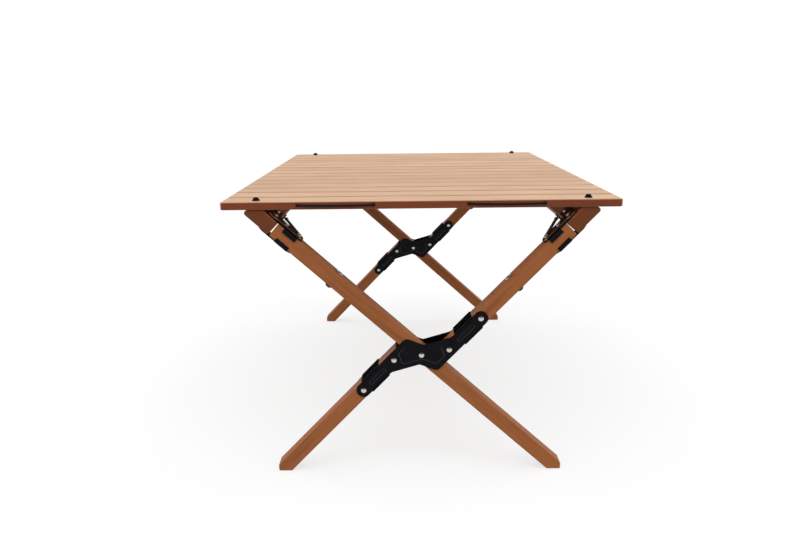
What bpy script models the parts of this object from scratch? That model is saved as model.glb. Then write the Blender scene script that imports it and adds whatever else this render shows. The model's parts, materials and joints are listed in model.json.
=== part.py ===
"""Camping table: a roll-up slatted beech top that buttons onto a folding frame of two crossed leg pairs.

World frame: X runs along the slats, Y along the length of the table, Z is up.
The origin is on the ground, under the middle of the top. The near end of the table is at -Y.
"""

import math

import bmesh
import bpy
from mathutils import Matrix, Vector

MM = 0.001

# Top: slats laid side by side along Y and threaded on two loops of elastic cord
TABLE_LENGTH = 900 * MM
TABLE_HEIGHT = 442 * MM
SLAT_LENGTH = 600 * MM
SLAT_THICKNESS = 11.2 * MM
SLAT_COUNT = 15
SLAT_SEAM = 1.2 * MM
SLAT_EDGE_ROUND = 1.8 * MM

# Elastic cord: each loop crosses the outer face of both end slats
CORD_DIAMETER = 3.4 * MM
CORD_HOLE_DIAMETER = 5.0 * MM
CORD_HOLE_DEPTH = 4.8 * MM
CORD_INNER_X = 71 * MM
CORD_OUTER_X = 184 * MM
CORD_SAG = 0.9 * MM
CORD_BEND_STEPS = 3
CORD_RUN_STEPS = 8

# Crossed legs, seen along Y: the left rail stands on the long legs, the right rail on the split legs
PIVOT_HEIGHT = 200.7 * MM
LONG_LEG_ANGLE = math.radians(42.0)
SPLIT_LEG_ANGLE = math.radians(45.9)
LEG_WIDTH = 23 * MM
LEG_DEPTH = 28 * MM
FOLDED_LEG_GAP = 2.4 * MM
SPLIT_LEG_END = 20 * MM
WOOD_EDGE = 1.0 * MM
WOOD_CORNER = 2.0 * MM
FOOT_TOE_HEIGHT = 11 * MM
FOOT_TOE_ROUND = 5 * MM
FRAME_SETBACK = 3 * MM

# Rails and the hinge gap between each rail and its leg
RAIL_CLEARANCE = 1.0 * MM
RAIL_NOSE_ROUND = 4.2 * MM
HINGE_GAP = 2.0 * MM
HINGE_DROP = 28.5 * MM

# Rubber studs that button the end slats onto the rails
STUD_INSET = 22 * MM
STUD_NECK_DIAMETER = 8 * MM
STUD_HEAD_DIAMETER = 12 * MM
STUD_HEAD_HEIGHT = 5.6 * MM
STUD_DEPTH = 14 * MM

# Hinge and folding lock at the top of each leg
PLATE_THICKNESS = 1.8 * MM
PLATE_WIDTH = 24 * MM
PLATE_ON_LEG = 43 * MM
PLATE_ON_RAIL = 22 * MM
TAB_START = 11.5 * MM
TAB_LENGTH = 24 * MM
TAB_COVER = 5.6 * MM
HINGE_PIN_DIAMETER = 6 * MM
HINGE_PIN_SETBACK = 10.5 * MM
PIN_HEAD_DIAMETER = 11 * MM
PIN_HEAD_HEIGHT = 3.2 * MM
ARM_THICKNESS = 2.2 * MM
ARM_WIDTH = 19 * MM
ARM_HEAD_DIAMETER = 24 * MM
RAIL_PLATE_LENGTH = 33 * MM
RAIL_PLATE_HEIGHT = 19 * MM
LOCK_RIVET_DIAMETER = 5 * MM
LOCK_RIVET_HEAD = 8.5 * MM
LOCK_RIVET_DOME = 1.8 * MM
UPPER_RIVET_DROP = 9 * MM
LOWER_RIVET_DROP = 34 * MM
STRUT_WIDTH = 8 * MM
STRUT_THICKNESS = 2.4 * MM
STRUT_REACH = 84 * MM
STRUT_FOOT_LENGTH = 22 * MM

# Bolt through each leg, with a rubber dome outside and a steel ring inside
BOLT_DROP = 118 * MM
BOLT_DIAMETER = 6 * MM
DOME_DIAMETER = 15 * MM
DOME_HEIGHT = 5.2 * MM
RING_DIAMETER = 12.6 * MM
RING_HEIGHT = 1.2 * MM
RING_SLEEVE_DIAMETER = 9.4 * MM
RING_BORE_DIAMETER = 7.6 * MM
RING_SLEEVE_DEPTH = 9 * MM

# Pressed steel brackets that join the two halves of a split leg across the long leg
BRACKET_THICKNESS = 1.6 * MM
BRACKET_BEAD = 0.8 * MM
BEAD_EDGE = 0.3 * MM
BRACKET_RIVET_OUTER = 106.3 * MM
BRACKET_RIVET_INNER = 36.2 * MM
BRACKET_SHOULDER = 54 * MM
BRACKET_WAIST = 9 * MM
FLANGE_START = 60 * MM
FLANGE_LENGTH = 38 * MM
FLANGE_DEPTH = 11 * MM
FLANGE_INSET = 0.15 * MM
BRACKET_RIVET_DIAMETER = 5 * MM
BRACKET_RIVET_HEAD = 9.6 * MM
BRACKET_RIVET_DOME = 3.2 * MM

# Fits
TOUCH = 0.3 * MM
HOLE_CLEARANCE = 0.3 * MM
NECK_CLEARANCE = 0.4 * MM
ARC_STEP = math.radians(30)
WOOD_ARC_STEP = math.radians(45)
SMALL_SHARE = 0.01
HOLE_SIDES = 8
PIN_SIDES = 10
HEAD_SIDES = 24
DOME_SIDES = 12
CUT_PAST = 5 * MM

SLAT_PITCH = TABLE_LENGTH / SLAT_COUNT
SLAT_UNDERSIDE = TABLE_HEIGHT - SLAT_THICKNESS
RAIL_TOP = SLAT_UNDERSIDE - RAIL_CLEARANCE
FRAME_END = TABLE_LENGTH / 2 - FRAME_SETBACK
LEG_OFFSET = LEG_WIDTH + FOLDED_LEG_GAP
HINGE_REACH = (RAIL_TOP - HINGE_DROP - PIVOT_HEIGHT) / math.sin(LONG_LEG_ANGLE)
LEG_TOP = HINGE_REACH - HINGE_GAP / 2
RAIL_FOOT = HINGE_REACH + HINGE_GAP / 2
PIN_PLACE = RAIL_FOOT + HINGE_PIN_SETBACK
HALF_LEG = LEG_WIDTH / 2
MID_DEPTH = LEG_DEPTH / 2
PIVOT = Vector((0, 0, PIVOT_HEIGHT))

# Base colour as linear red, green and blue, then roughness and metallic value
FINISHES = {
    "slat": ((0.64, 0.45, 0.32), 0.55, 0.0),
    "leg": ((0.36, 0.15, 0.07), 0.5, 0.0),
    "cord": ((0.008, 0.01, 0.012), 0.9, 0.0),
    "rubber": ((0.01, 0.01, 0.011), 0.6, 0.0),
    "black_steel": ((0.012, 0.012, 0.013), 0.42, 0.6),
    "bronze_steel": ((0.05, 0.03, 0.022), 0.45, 0.8),
    "nickel": ((0.66, 0.64, 0.61), 0.22, 1.0),
}


def clear_scene():
    for thing in list(bpy.data.objects):
        bpy.data.objects.remove(thing, do_unlink=True)


def rounded(corners, arc_step=ARC_STEP):
    """Closed outline from (a, b, radius) corners, each corner turned into an arc that its edges can hold."""
    outline = []
    for index, (a, b, radius) in enumerate(corners):
        corner = Vector((a, b))
        before = Vector(corners[index - 1][:2]) - corner
        after = Vector(corners[(index + 1) % len(corners)][:2]) - corner
        half = before.angle(after) / 2
        shortest = min(before.length, after.length)
        radius = min(radius, 0.48 * shortest * math.tan(half))
        if radius <= 0:
            outline.append(corner)
            continue
        before.normalize()
        after.normalize()
        centre = corner + (before + after).normalized() * radius / math.sin(half)
        start = corner + before * radius / math.tan(half) - centre
        stop = corner + after * radius / math.tan(half) - centre
        turn = math.atan2(start.x * stop.y - start.y * stop.x, start.dot(stop))
        steps = max(1, math.ceil(abs(turn) / arc_step - SMALL_SHARE))
        for step in range(steps + 1):
            outline.append(centre + Matrix.Rotation(turn * step / steps, 2) @ start)
    return outline


def faced_out(mesh):
    """Turn the faces of a closed solid outwards."""
    bmesh.ops.recalc_face_normals(mesh, faces=mesh.faces)
    if mesh.calc_volume(signed=True) < 0:
        bmesh.ops.reverse_faces(mesh, faces=mesh.faces)
    return mesh


def prism(outline, low, high, edge=0.0):
    """Extrude an outline in the XY plane along Z, with its two rims eased by edge."""
    mesh = bmesh.new()
    rim = [mesh.verts.new((point[0], point[1], low)) for point in outline]
    face = mesh.faces.new(rim)
    grown = bmesh.ops.extrude_face_region(mesh, geom=[face])
    moved = [item for item in grown["geom"] if isinstance(item, bmesh.types.BMVert)]
    bmesh.ops.translate(mesh, vec=(0, 0, high - low), verts=moved)
    faced_out(mesh)
    if edge > 0:
        rims = [item for item in mesh.edges if item.verts[0].co.z == item.verts[1].co.z]
        bmesh.ops.bevel(mesh, geom=rims, offset=edge, segments=1, affect="EDGES", clamp_overlap=True)
    return mesh


def turned(profile, sides, closed=False):
    """Solid of revolution about Z from (radius, height) points; a closed profile makes a ring."""
    mesh = bmesh.new()
    verts = [mesh.verts.new((radius, 0, height)) for radius, height in profile]
    edges = [mesh.edges.new(pair) for pair in zip(verts, verts[1:])]
    if closed:
        edges.append(mesh.edges.new((verts[-1], verts[0])))
    whole_turn = {"cent": (0, 0, 0), "axis": (0, 0, 1), "angle": math.tau, "steps": sides}
    bmesh.ops.spin(mesh, geom=verts + edges, **whole_turn)
    bmesh.ops.remove_doubles(mesh, verts=mesh.verts, dist=1e-6)
    return faced_out(mesh)


def cylinder(diameter, low, high, sides=HOLE_SIDES):
    """Upright cylinder whose flats, not its corners, lie on the diameter; a hole is never too narrow."""
    radius = diameter / 2 / math.cos(math.pi / sides)
    return turned([(0, low), (radius, low), (radius, high), (0, high)], sides)


def placed(mesh, matrix):
    """Move a solid into the world; a mirrored frame gets its faces turned out again."""
    mesh.transform(matrix)
    return faced_out(mesh)


def gathered(solids):
    """One mesh that holds separate solids."""
    whole = bmesh.new()
    for solid in solids:
        data = bpy.data.meshes.new("solid")
        solid.to_mesh(data)
        solid.free()
        whole.from_mesh(data)
        bpy.data.meshes.remove(data)
    return whole


def temporary(mesh, name):
    data = bpy.data.meshes.new(name)
    mesh.to_mesh(data)
    mesh.free()
    thing = bpy.data.objects.new(name, data)
    bpy.context.scene.collection.objects.link(thing)
    return thing


def combined(mesh, tool, operation):
    """Exact Boolean of two meshes, applied at once so that no helper object is left."""
    base = temporary(mesh, "base")
    other = temporary(tool, "tool")
    modifier = base.modifiers.new("combine", "BOOLEAN")
    modifier.operation = operation
    modifier.solver = "EXACT"
    modifier.object = other
    bpy.context.view_layer.update()
    evaluated = base.evaluated_get(bpy.context.evaluated_depsgraph_get())
    data = bpy.data.meshes.new_from_object(evaluated)
    result = bmesh.new()
    result.from_mesh(data)
    bpy.data.meshes.remove(data)
    for thing in (base, other):
        bpy.data.objects.remove(thing, do_unlink=True)
    return result


def cut(mesh, tools):
    return combined(mesh, gathered(tools), "DIFFERENCE")


def fused(first, *others):
    for other in others:
        first = combined(first, other, "UNION")
    return first


def finish_material(name, finish):
    colour, roughness, metallic = FINISHES[finish]
    material = bpy.data.materials.new(name + "_finish")
    material.use_nodes = True
    shader = material.node_tree.nodes["Principled BSDF"]
    shader.inputs["Base Color"].default_value = (*colour, 1)
    shader.inputs["Roughness"].default_value = roughness
    shader.inputs["Metallic"].default_value = metallic
    material.diffuse_color = (*colour, 1)
    return material


def add_object(name, data, finish, origin, parent):
    thing = bpy.data.objects.new(name, data)
    bpy.context.scene.collection.objects.link(thing)
    data.materials.append(finish_material(name, finish))
    thing.location = origin
    if parent:
        thing.parent = parent
        thing.location = origin - parent.location
    return thing


def add_piece(name, mesh, finish, origin=None, parent=None):
    """Named object from a mesh in world coordinates; its origin defaults to the middle of its box."""
    bmesh.ops.triangulate(mesh, faces=[face for face in mesh.faces if len(face.verts) > 4])
    if origin is None:
        corners = [vert.co for vert in mesh.verts]
        low = Vector(min(co[axis] for co in corners) for axis in range(3))
        high = Vector(max(co[axis] for co in corners) for axis in range(3))
        origin = (low + high) / 2
    mesh.transform(Matrix.Translation(-origin))
    data = bpy.data.meshes.new(name)
    mesh.to_mesh(data)
    mesh.free()
    data.shade_smooth()
    data.set_sharp_from_angle(angle=math.radians(32))
    return add_object(name, data, finish, origin, parent)


def frame_of(side, angle, offset=0.0, end=-1):
    """Matrix of a leg's own axes: x up along the leg, y from its outer end face inwards, z square to it.

    side is -1 for the leg whose top is on the left and 1 on the right, end is -1 near and 1 far.
    offset shifts the leg's centre line towards the upper side of the crossing.
    """
    along = Vector((side * math.cos(angle), 0, math.sin(angle)))
    across = Vector((-side * math.sin(angle), 0, math.cos(angle)))
    depth = Vector((0, -end, 0))
    origin = PIVOT + across * offset + Vector((0, end * FRAME_END, 0))
    matrix = Matrix.Identity(4)
    for column, axis in enumerate((along, depth, across, origin)):
        matrix.col[column][:3] = axis
    return matrix


ENDS = (("near", -1), ("far", 1))
SWAP_YZ = Matrix(((1, 0, 0, 0), (0, 0, 1, 0), (0, 1, 0, 0), (0, 0, 0, 1)))
SIDES = {
    "left": {"side": -1, "angle": LONG_LEG_ANGLE, "offset": 0.0},
    "right": {"side": 1, "angle": SPLIT_LEG_ANGLE, "offset": -LEG_OFFSET},
}


def along_at(height, across, angle, offset):
    """Distance up a leg's axis at which a line parallel to it reaches a height."""
    return (height - PIVOT_HEIGHT - (across + offset) * math.cos(angle)) / math.sin(angle)


def stud_x(side, angle, offset):
    """X of a stud, at the middle of the rail's flat top."""
    matrix = frame_of(side, angle, offset)
    inner = matrix @ Vector((along_at(RAIL_TOP, HALF_LEG, angle, offset), 0, HALF_LEG))
    tip = matrix @ Vector((along_at(RAIL_TOP, -HALF_LEG, angle, offset), 0, -HALF_LEG))
    nose = RAIL_NOSE_ROUND / math.tan(angle / 2)
    return (inner.x + tip.x - side * nose) / 2


def rim_from(matrix, points):
    """World (x, z, radius) corners of points given as (along, across, radius) in a leg's frame."""
    corners = []
    for along, across, radius in points:
        world = matrix @ Vector((along, 0, across))
        corners.append((world.x, world.z, radius))
    return corners


def wood_bar(corners, low, high):
    """Wooden bar with its outline in the XZ plane, running from low to high along Y."""
    return placed(prism(rounded(corners, WOOD_ARC_STEP), low, high, edge=WOOD_EDGE), SWAP_YZ)


def depth_range(end):
    """Y of the two faces of a leg at one end of the table."""
    outer = end * FRAME_END
    inner = outer - end * LEG_DEPTH
    return min(outer, inner), max(outer, inner)


def through(matrix, along, depth, low, high, diameter):
    """Cylinder square to a leg's broad faces, placed in the leg's frame."""
    return placed(cylinder(diameter, low, high), matrix @ Matrix.Translation((along, depth, 0)))


def hinge_holes(side, angle, offset, diameter, places):
    """Cutters for holes that cross both ends of one side of the frame, square to its legs."""
    tools = []
    for end in (-1, 1):
        matrix = frame_of(side, angle, offset, end)
        for along in places:
            tools.append(through(matrix, along, MID_DEPTH, -LEG_WIDTH * 2, LEG_WIDTH * 2, diameter))
    return tools


def stud_holes(x, diameter, low, high):
    """Upright cutters at both ends of the table for the studs of one rail."""
    tools = []
    for end in (-1, 1):
        y = end * (TABLE_LENGTH / 2 - STUD_INSET)
        tools.append(placed(cylinder(diameter, low, high), Matrix.Translation((x, y, 0))))
    return tools


def lock_rivet_places():
    return LEG_TOP - UPPER_RIVET_DROP, LEG_TOP - LOWER_RIVET_DROP


def build_rail(name, parent):
    """Long rail with a level top, on the line of its legs."""
    spec = SIDES[name]
    angle, offset = spec["angle"], spec["offset"]
    corners = rim_from(frame_of(**spec), [
        (RAIL_FOOT, -HALF_LEG, WOOD_CORNER),
        (RAIL_FOOT, HALF_LEG, WOOD_CORNER),
        (along_at(RAIL_TOP, HALF_LEG, angle, offset), HALF_LEG, WOOD_CORNER),
        (along_at(RAIL_TOP, -HALF_LEG, angle, offset), -HALF_LEG, RAIL_NOSE_ROUND),
    ])
    rail = wood_bar(corners, -FRAME_END, FRAME_END)
    neck = STUD_NECK_DIAMETER + 2 * HOLE_CLEARANCE
    bottom = RAIL_TOP - STUD_DEPTH - HOLE_CLEARANCE
    tools = stud_holes(stud_x(**spec), neck, bottom, RAIL_TOP + CUT_PAST)
    tools += hinge_holes(**spec, diameter=HINGE_PIN_DIAMETER + 2 * HOLE_CLEARANCE, places=[PIN_PLACE])
    add_piece(name + "_rail", cut(rail, tools), "leg", parent=parent)


def leg_tools(spec, end):
    """Cutters for the lock rivets and the bolt with its ring in the upper part of a leg."""
    matrix = frame_of(**spec, end=end)
    tools = []
    for along in lock_rivet_places():
        hole = LOCK_RIVET_DIAMETER + 2 * HOLE_CLEARANCE
        tools.append(through(matrix, along, MID_DEPTH, -LEG_WIDTH, LEG_WIDTH, hole))
    spot = matrix @ Matrix.Translation((LEG_TOP - BOLT_DROP, MID_DEPTH, 0))
    step = HALF_LEG - RING_SLEEVE_DEPTH - HOLE_CLEARANCE
    past = HALF_LEG + CUT_PAST
    narrow = cylinder(BOLT_DIAMETER + 2 * HOLE_CLEARANCE, -past, past)
    wide = cylinder(RING_SLEEVE_DIAMETER + 2 * HOLE_CLEARANCE, step, past)
    tools.append(placed(fused(narrow, wide), spot))
    return tools


def rivet_hole(x, z, end, diameter=BRACKET_RIVET_DIAMETER):
    """Cutter along Y for a bracket rivet."""
    low, high = depth_range(end)
    tool = cylinder(diameter + 2 * HOLE_CLEARANCE, low - CUT_PAST, high + CUT_PAST)
    return placed(tool, Matrix.Translation((x, 0, z)) @ SWAP_YZ)


def foot_corners(matrix, angle, offset):
    """Corners of a leg's foot: the toe stands upright on the outer side, and the sole lies on the ground."""
    toe_along = along_at(FOOT_TOE_HEIGHT, HALF_LEG, angle, offset)
    toe = matrix @ Vector((toe_along, 0, HALF_LEG))
    heel = matrix @ Vector((along_at(0, -HALF_LEG, angle, offset), 0, -HALF_LEG))
    return [(toe.x, toe.z, FOOT_TOE_ROUND), (toe.x, 0, WOOD_CORNER), (heel.x, 0, WOOD_CORNER)]


def build_long_legs(parent):
    """The left rail's legs: one whole bar each, from the hinge down through the crossing to the ground."""
    spec = SIDES["left"]
    for place, end in ENDS:
        matrix = frame_of(**spec, end=end)
        top = rim_from(matrix, [(LEG_TOP, -HALF_LEG, WOOD_CORNER), (LEG_TOP, HALF_LEG, WOOD_CORNER)])
        corners = top + foot_corners(matrix, spec["angle"], spec["offset"])
        leg = wood_bar(corners, *depth_range(end))
        tools = leg_tools(spec, end) + [rivet_hole(PIVOT.x, PIVOT.z, end)]
        origin = PIVOT + Vector((0, end * (FRAME_END - MID_DEPTH), 0))
        add_piece(place + "_long_leg", cut(leg, tools), "leg", origin, parent)


def split_rivets():
    """Bracket rivets as (along, across) from the centre rivet, on the line of the split leg."""
    lower = [(-BRACKET_RIVET_OUTER, LEG_OFFSET), (-BRACKET_RIVET_INNER, LEG_OFFSET)]
    return lower + [(-along, -across) for along, across in lower]


def build_split_legs(parent):
    """The right rail's legs: an upper and a lower half, each beside the line through the crossing."""
    angle = SPLIT_LEG_ANGLE
    for place, end in ENDS:
        middle = frame_of(1, angle, 0, end)
        low, high = depth_range(end)
        upper_frame = frame_of(**SIDES["right"], end=end)
        upper = rim_from(upper_frame, [
            (LEG_TOP, HALF_LEG, WOOD_CORNER), (LEG_TOP, -HALF_LEG, WOOD_CORNER),
            (SPLIT_LEG_END, -HALF_LEG, WOOD_CORNER), (SPLIT_LEG_END, HALF_LEG, WOOD_CORNER),
        ])
        lower_frame = frame_of(1, angle, LEG_OFFSET, end)
        lower = rim_from(lower_frame, [
            (-SPLIT_LEG_END, -HALF_LEG, WOOD_CORNER), (-SPLIT_LEG_END, HALF_LEG, WOOD_CORNER),
        ]) + foot_corners(lower_frame, angle, LEG_OFFSET)
        holes = {1: leg_tools(SIDES["right"], end), -1: []}
        for along, across in split_rivets():
            world = middle @ Vector((along, 0, across))
            holes[int(math.copysign(1, along))].append(rivet_hole(world.x, world.z, end))
        for half, corners, sign in (("upper", upper, 1), ("lower", lower, -1)):
            leg = cut(wood_bar(corners, low, high), holes[sign])
            add_piece(f"{place}_{half}_leg", leg, "leg", parent=parent)


def build_studs(name, parent):
    """Rubber studs: a neck down into the rail and a domed head over the end slat."""
    spec = SIDES[name]
    neck = STUD_NECK_DIAMETER / 2
    head = STUD_HEAD_DIAMETER / 2
    seat = TABLE_HEIGHT + TOUCH
    height = STUD_HEAD_HEIGHT
    profile = [
        (0, RAIL_TOP - STUD_DEPTH), (neck, RAIL_TOP - STUD_DEPTH), (neck, seat), (head, seat),
        (head, seat + 0.15 * height), (0.84 * head, seat + 0.55 * height),
        (0.5 * head, seat + 0.88 * height), (0, seat + height),
    ]
    for place, end in ENDS:
        spot = Matrix.Translation((stud_x(**spec), end * (TABLE_LENGTH / 2 - STUD_INSET), 0))
        add_piece(f"{name}_{place}_stud", placed(turned(profile, DOME_SIDES), spot), "rubber", parent=parent)


PLATE_OUTER = HALF_LEG + TOUCH + PLATE_THICKNESS
ARM_LOW = PLATE_OUTER + TOUCH
ARM_TOP = ARM_LOW + ARM_THICKNESS


def hinge_plate(sign):
    """Plate over the hinge gap on one broad side, with a tab folded onto the leg's end face."""
    start = LEG_TOP - PLATE_ON_LEG
    stop = RAIL_FOOT + PLATE_ON_RAIL - HINGE_GAP
    side_low = MID_DEPTH - PLATE_WIDTH / 2
    side_high = MID_DEPTH + PLATE_WIDTH / 2
    tab_top = LEG_TOP - TAB_START
    tab_low = tab_top - TAB_LENGTH
    face = -TOUCH - PLATE_THICKNESS
    round_end = PLATE_WIDTH / 2
    outline = rounded([
        (start, side_low, round_end), (tab_low, side_low, 0), (tab_low, face, WOOD_CORNER),
        (tab_top, face, WOOD_CORNER), (tab_top, side_low, 0), (stop, side_low, round_end),
        (stop, side_high, round_end), (start, side_high, round_end),
    ])
    near = HALF_LEG + TOUCH
    far = near + PLATE_THICKNESS
    plate = prism(outline, *sorted((sign * near, sign * far)))
    inner = HALF_LEG - TAB_COVER
    tab_outline = [(tab_low, face), (tab_top, face), (tab_top, -TOUCH), (tab_low, -TOUCH)]
    tab = prism(tab_outline, *sorted((sign * inner, sign * (near + PLATE_THICKNESS / 2))))
    return fused(plate, tab)


def domed_pin(diameter, head, dome, low, high, tail):
    """Rivet or pin: a shank from low to high, with a domed head over high and a flatter tail under low."""
    shank = diameter / 2
    radius = head / 2
    tail_radius = 0.85 * radius
    profile = [(0, low - tail), (tail_radius, low - tail), (tail_radius, low), (shank, low), (shank, high)]
    steps = 3
    for step in range(steps):
        angle = step / steps * math.pi / 2
        profile.append((radius * math.cos(angle), high + dome * math.sin(angle)))
    profile.append((0, high + dome))
    return turned(profile, PIN_SIDES)


def corner_hinge(matrix):
    """Both hinge plates of one corner, with the pin through the rail and the two rivets through the leg."""
    low = -PLATE_OUTER + PLATE_THICKNESS / 4
    high = ARM_TOP + TOUCH
    pin = domed_pin(HINGE_PIN_DIAMETER, PIN_HEAD_DIAMETER, PIN_HEAD_HEIGHT, low, high, PLATE_THICKNESS)
    pins = [placed(pin, Matrix.Translation((PIN_PLACE, MID_DEPTH, 0)))]
    for along in lock_rivet_places():
        rivet = domed_pin(LOCK_RIVET_DIAMETER, LOCK_RIVET_HEAD, LOCK_RIVET_DOME, low, high, PLATE_THICKNESS)
        pins.append(placed(rivet, Matrix.Translation((along, MID_DEPTH, 0))))
    return placed(fused(hinge_plate(-1), hinge_plate(1), *pins), matrix)


def corner_lock(matrix):
    """Lock of one corner: an arm along the leg, a round head at the pin, a wing over the rail and a strut.

    The strut runs from the foot of the arm to a small plate under the rail, further in along the rail.
    """
    start = LEG_TOP - PLATE_ON_LEG
    low = MID_DEPTH - ARM_WIDTH / 2
    high = MID_DEPTH + ARM_WIDTH / 2
    arm = prism(rounded([
        (start, low, ARM_WIDTH / 2), (PIN_PLACE, low, 0), (PIN_PLACE, high, 0), (start, high, ARM_WIDTH / 2),
    ]), ARM_LOW, ARM_TOP)
    spot = Matrix.Translation((PIN_PLACE, MID_DEPTH, 0))
    head = placed(cylinder(ARM_HEAD_DIAMETER, ARM_LOW, ARM_TOP, HEAD_SIDES), spot)
    foot = RAIL_FOOT + WOOD_CORNER
    last = MID_DEPTH + ARM_HEAD_DIAMETER / 2 + RAIL_PLATE_LENGTH
    wing_end = [(foot + RAIL_PLATE_HEIGHT, last, 2 * WOOD_CORNER), (foot, last, 2 * WOOD_CORNER)]
    wing = prism(rounded([(foot, MID_DEPTH, 0), (foot + RAIL_PLATE_HEIGHT, MID_DEPTH, 0)] + wing_end),
                 ARM_LOW, ARM_TOP)
    pad_start = MID_DEPTH + PLATE_WIDTH / 2 + 2 * TOUCH
    pad = prism(rounded([(foot, pad_start, 0), (foot + RAIL_PLATE_HEIGHT, pad_start, 0)] + wing_end),
                HALF_LEG + TOUCH, ARM_LOW + ARM_THICKNESS / 2)
    lock = fused(arm, head, wing, pad, *lock_strut())
    holes = []
    rods = [(PIN_PLACE, HINGE_PIN_DIAMETER)] + [(at, LOCK_RIVET_DIAMETER) for at in lock_rivet_places()]
    for along, diameter in rods:
        hole = cylinder(diameter + 2 * HOLE_CLEARANCE, 0, LEG_WIDTH)
        holes.append(placed(hole, Matrix.Translation((along, MID_DEPTH, 0))))
    return placed(cut(lock, holes), matrix)


def strut_between(first, last, width_axis):
    """Flat bar with one round end between two points, its broad side along width_axis."""
    along = (last - first).normalized()
    normal = along.cross(width_axis).normalized()
    width = normal.cross(along)
    matrix = Matrix.Identity(4)
    for column, axis in enumerate((along, width, normal, first)):
        matrix.col[column][:3] = axis
    length = (last - first).length
    half = STRUT_WIDTH / 2
    outline = rounded([(-half, -half, half), (length, -half, 0), (length, half, 0), (-half, half, half)])
    return placed(prism(outline, -STRUT_THICKNESS / 2, STRUT_THICKNESS / 2), matrix)


def lock_strut():
    """Strut from the foot of the arm to its plate under the rail, with the plate itself."""
    beside_rivet = LOCK_RIVET_HEAD / 2 + TOUCH + STRUT_WIDTH / 2
    first = Vector((LEG_TOP - LOWER_RIVET_DROP, MID_DEPTH + beside_rivet, ARM_TOP))
    last = Vector((RAIL_FOOT - 2 * TOUCH - STRUT_WIDTH / 2, STRUT_REACH, HALF_LEG - STRUT_WIDTH / 2))
    strut = strut_between(first, last, Vector((1, -0.5, 0)))
    half = STRUT_FOOT_LENGTH / 2
    side = HALF_LEG - TOUCH
    outline = rounded([
        (STRUT_REACH - half, -side / 2, WOOD_CORNER), (STRUT_REACH + half, -side / 2, WOOD_CORNER),
        (STRUT_REACH + half, side, WOOD_CORNER), (STRUT_REACH - half, side, WOOD_CORNER),
    ])
    turn = Matrix(((0, 0, 1, 0), (1, 0, 0, 0), (0, 1, 0, 0), (0, 0, 0, 1)))
    return strut, placed(prism(outline, RAIL_FOOT - TOUCH - STRUT_THICKNESS, RAIL_FOOT - TOUCH), turn)


def build_corners(name, parent):
    """Hinge, lock, bolt and ring at both ends of one side of the frame."""
    spec = SIDES[name]
    for place, end in ENDS:
        corner = f"{name}_{place}"
        matrix = frame_of(**spec, end=end)
        bolt_place = matrix @ Matrix.Translation((LEG_TOP - BOLT_DROP, MID_DEPTH, 0))
        add_piece(corner + "_hinge", corner_hinge(matrix), "black_steel", parent=parent)
        add_piece(corner + "_lock", corner_lock(matrix), "bronze_steel", parent=parent)
        add_piece(corner + "_bolt", placed(leg_bolt(), bolt_place), "rubber", parent=parent)
        add_piece(corner + "_ring", placed(leg_ring(), bolt_place), "nickel", parent=parent)


def leg_bolt():
    """Bolt through a leg: a rubber dome outside and a plain end that stops short of the ring's mouth."""
    base = -HALF_LEG - TOUCH
    dome = DOME_DIAMETER / 2
    shank = BOLT_DIAMETER / 2
    tip = HALF_LEG - RING_SLEEVE_DEPTH / 2
    profile = [
        (0, base - DOME_HEIGHT), (0.45 * dome, base - 0.88 * DOME_HEIGHT),
        (0.82 * dome, base - 0.5 * DOME_HEIGHT),
        (dome, base - 0.12 * DOME_HEIGHT), (dome, base), (shank, base), (shank, tip), (0, tip),
    ]
    return turned(profile, DOME_SIDES)


def leg_ring():
    """Steel ring: a rounded flange on the leg's face and a sleeve down into it."""
    flange = RING_DIAMETER / 2
    sleeve = RING_SLEEVE_DIAMETER / 2
    bore = RING_BORE_DIAMETER / 2
    seat = HALF_LEG + TOUCH
    profile = [
        (bore, HALF_LEG - RING_SLEEVE_DEPTH), (sleeve, HALF_LEG - RING_SLEEVE_DEPTH), (sleeve, seat),
        (flange, seat), (flange, seat + RING_HEIGHT / 2), (flange - RING_HEIGHT / 2, seat + RING_HEIGHT),
        (bore + RING_HEIGHT / 4, seat + RING_HEIGHT), (bore, seat + RING_HEIGHT / 2),
    ]
    return turned(profile, DOME_SIDES, closed=True)


def point_symmetric(half):
    """Outline corners followed by the same corners turned half a turn about the centre rivet."""
    return half + [(-along, -across, radius) for along, across, radius in half]


def bracket_outline():
    """Outline of a bracket: two arms beside the crossing, widened where the flanges fold down."""
    edge = LEG_OFFSET - HALF_LEG
    rim = LEG_OFFSET + HALF_LEG
    reach = BRACKET_RIVET_OUTER + HALF_LEG
    fold = HALF_LEG + TOUCH + BRACKET_THICKNESS
    stop = FLANGE_START + FLANGE_LENGTH
    return rounded(point_symmetric([
        (-FLANGE_START, rim, 0), (-FLANGE_START, LEG_OFFSET + fold, 0),
        (-stop, LEG_OFFSET + fold, 0), (-stop, rim, 0),
        (-reach, rim, HALF_LEG), (-reach, edge, HALF_LEG),
        (-stop, edge, 0), (-stop, LEG_OFFSET - fold, 0),
        (-FLANGE_START, LEG_OFFSET - fold, 0), (-FLANGE_START, edge, 0),
        (-BRACKET_SHOULDER, edge, 10 * MM), (-edge, -BRACKET_WAIST, 8 * MM), (-2 * MM, -rim, 9 * MM),
    ]))


def bracket_bead(sign):
    """Outline of the long bead pressed into one arm."""
    start = sign * (FLANGE_START - 4 * MM)
    stop = sign * (FLANGE_START + 32 * MM)
    middle = -sign * LEG_OFFSET
    corners = []
    for along, across in ((start, -1), (stop, -1), (stop, 1), (start, 1)):
        corners.append((along, middle + across * 3 * MM, 3 * MM))
    return rounded(corners)


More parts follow.
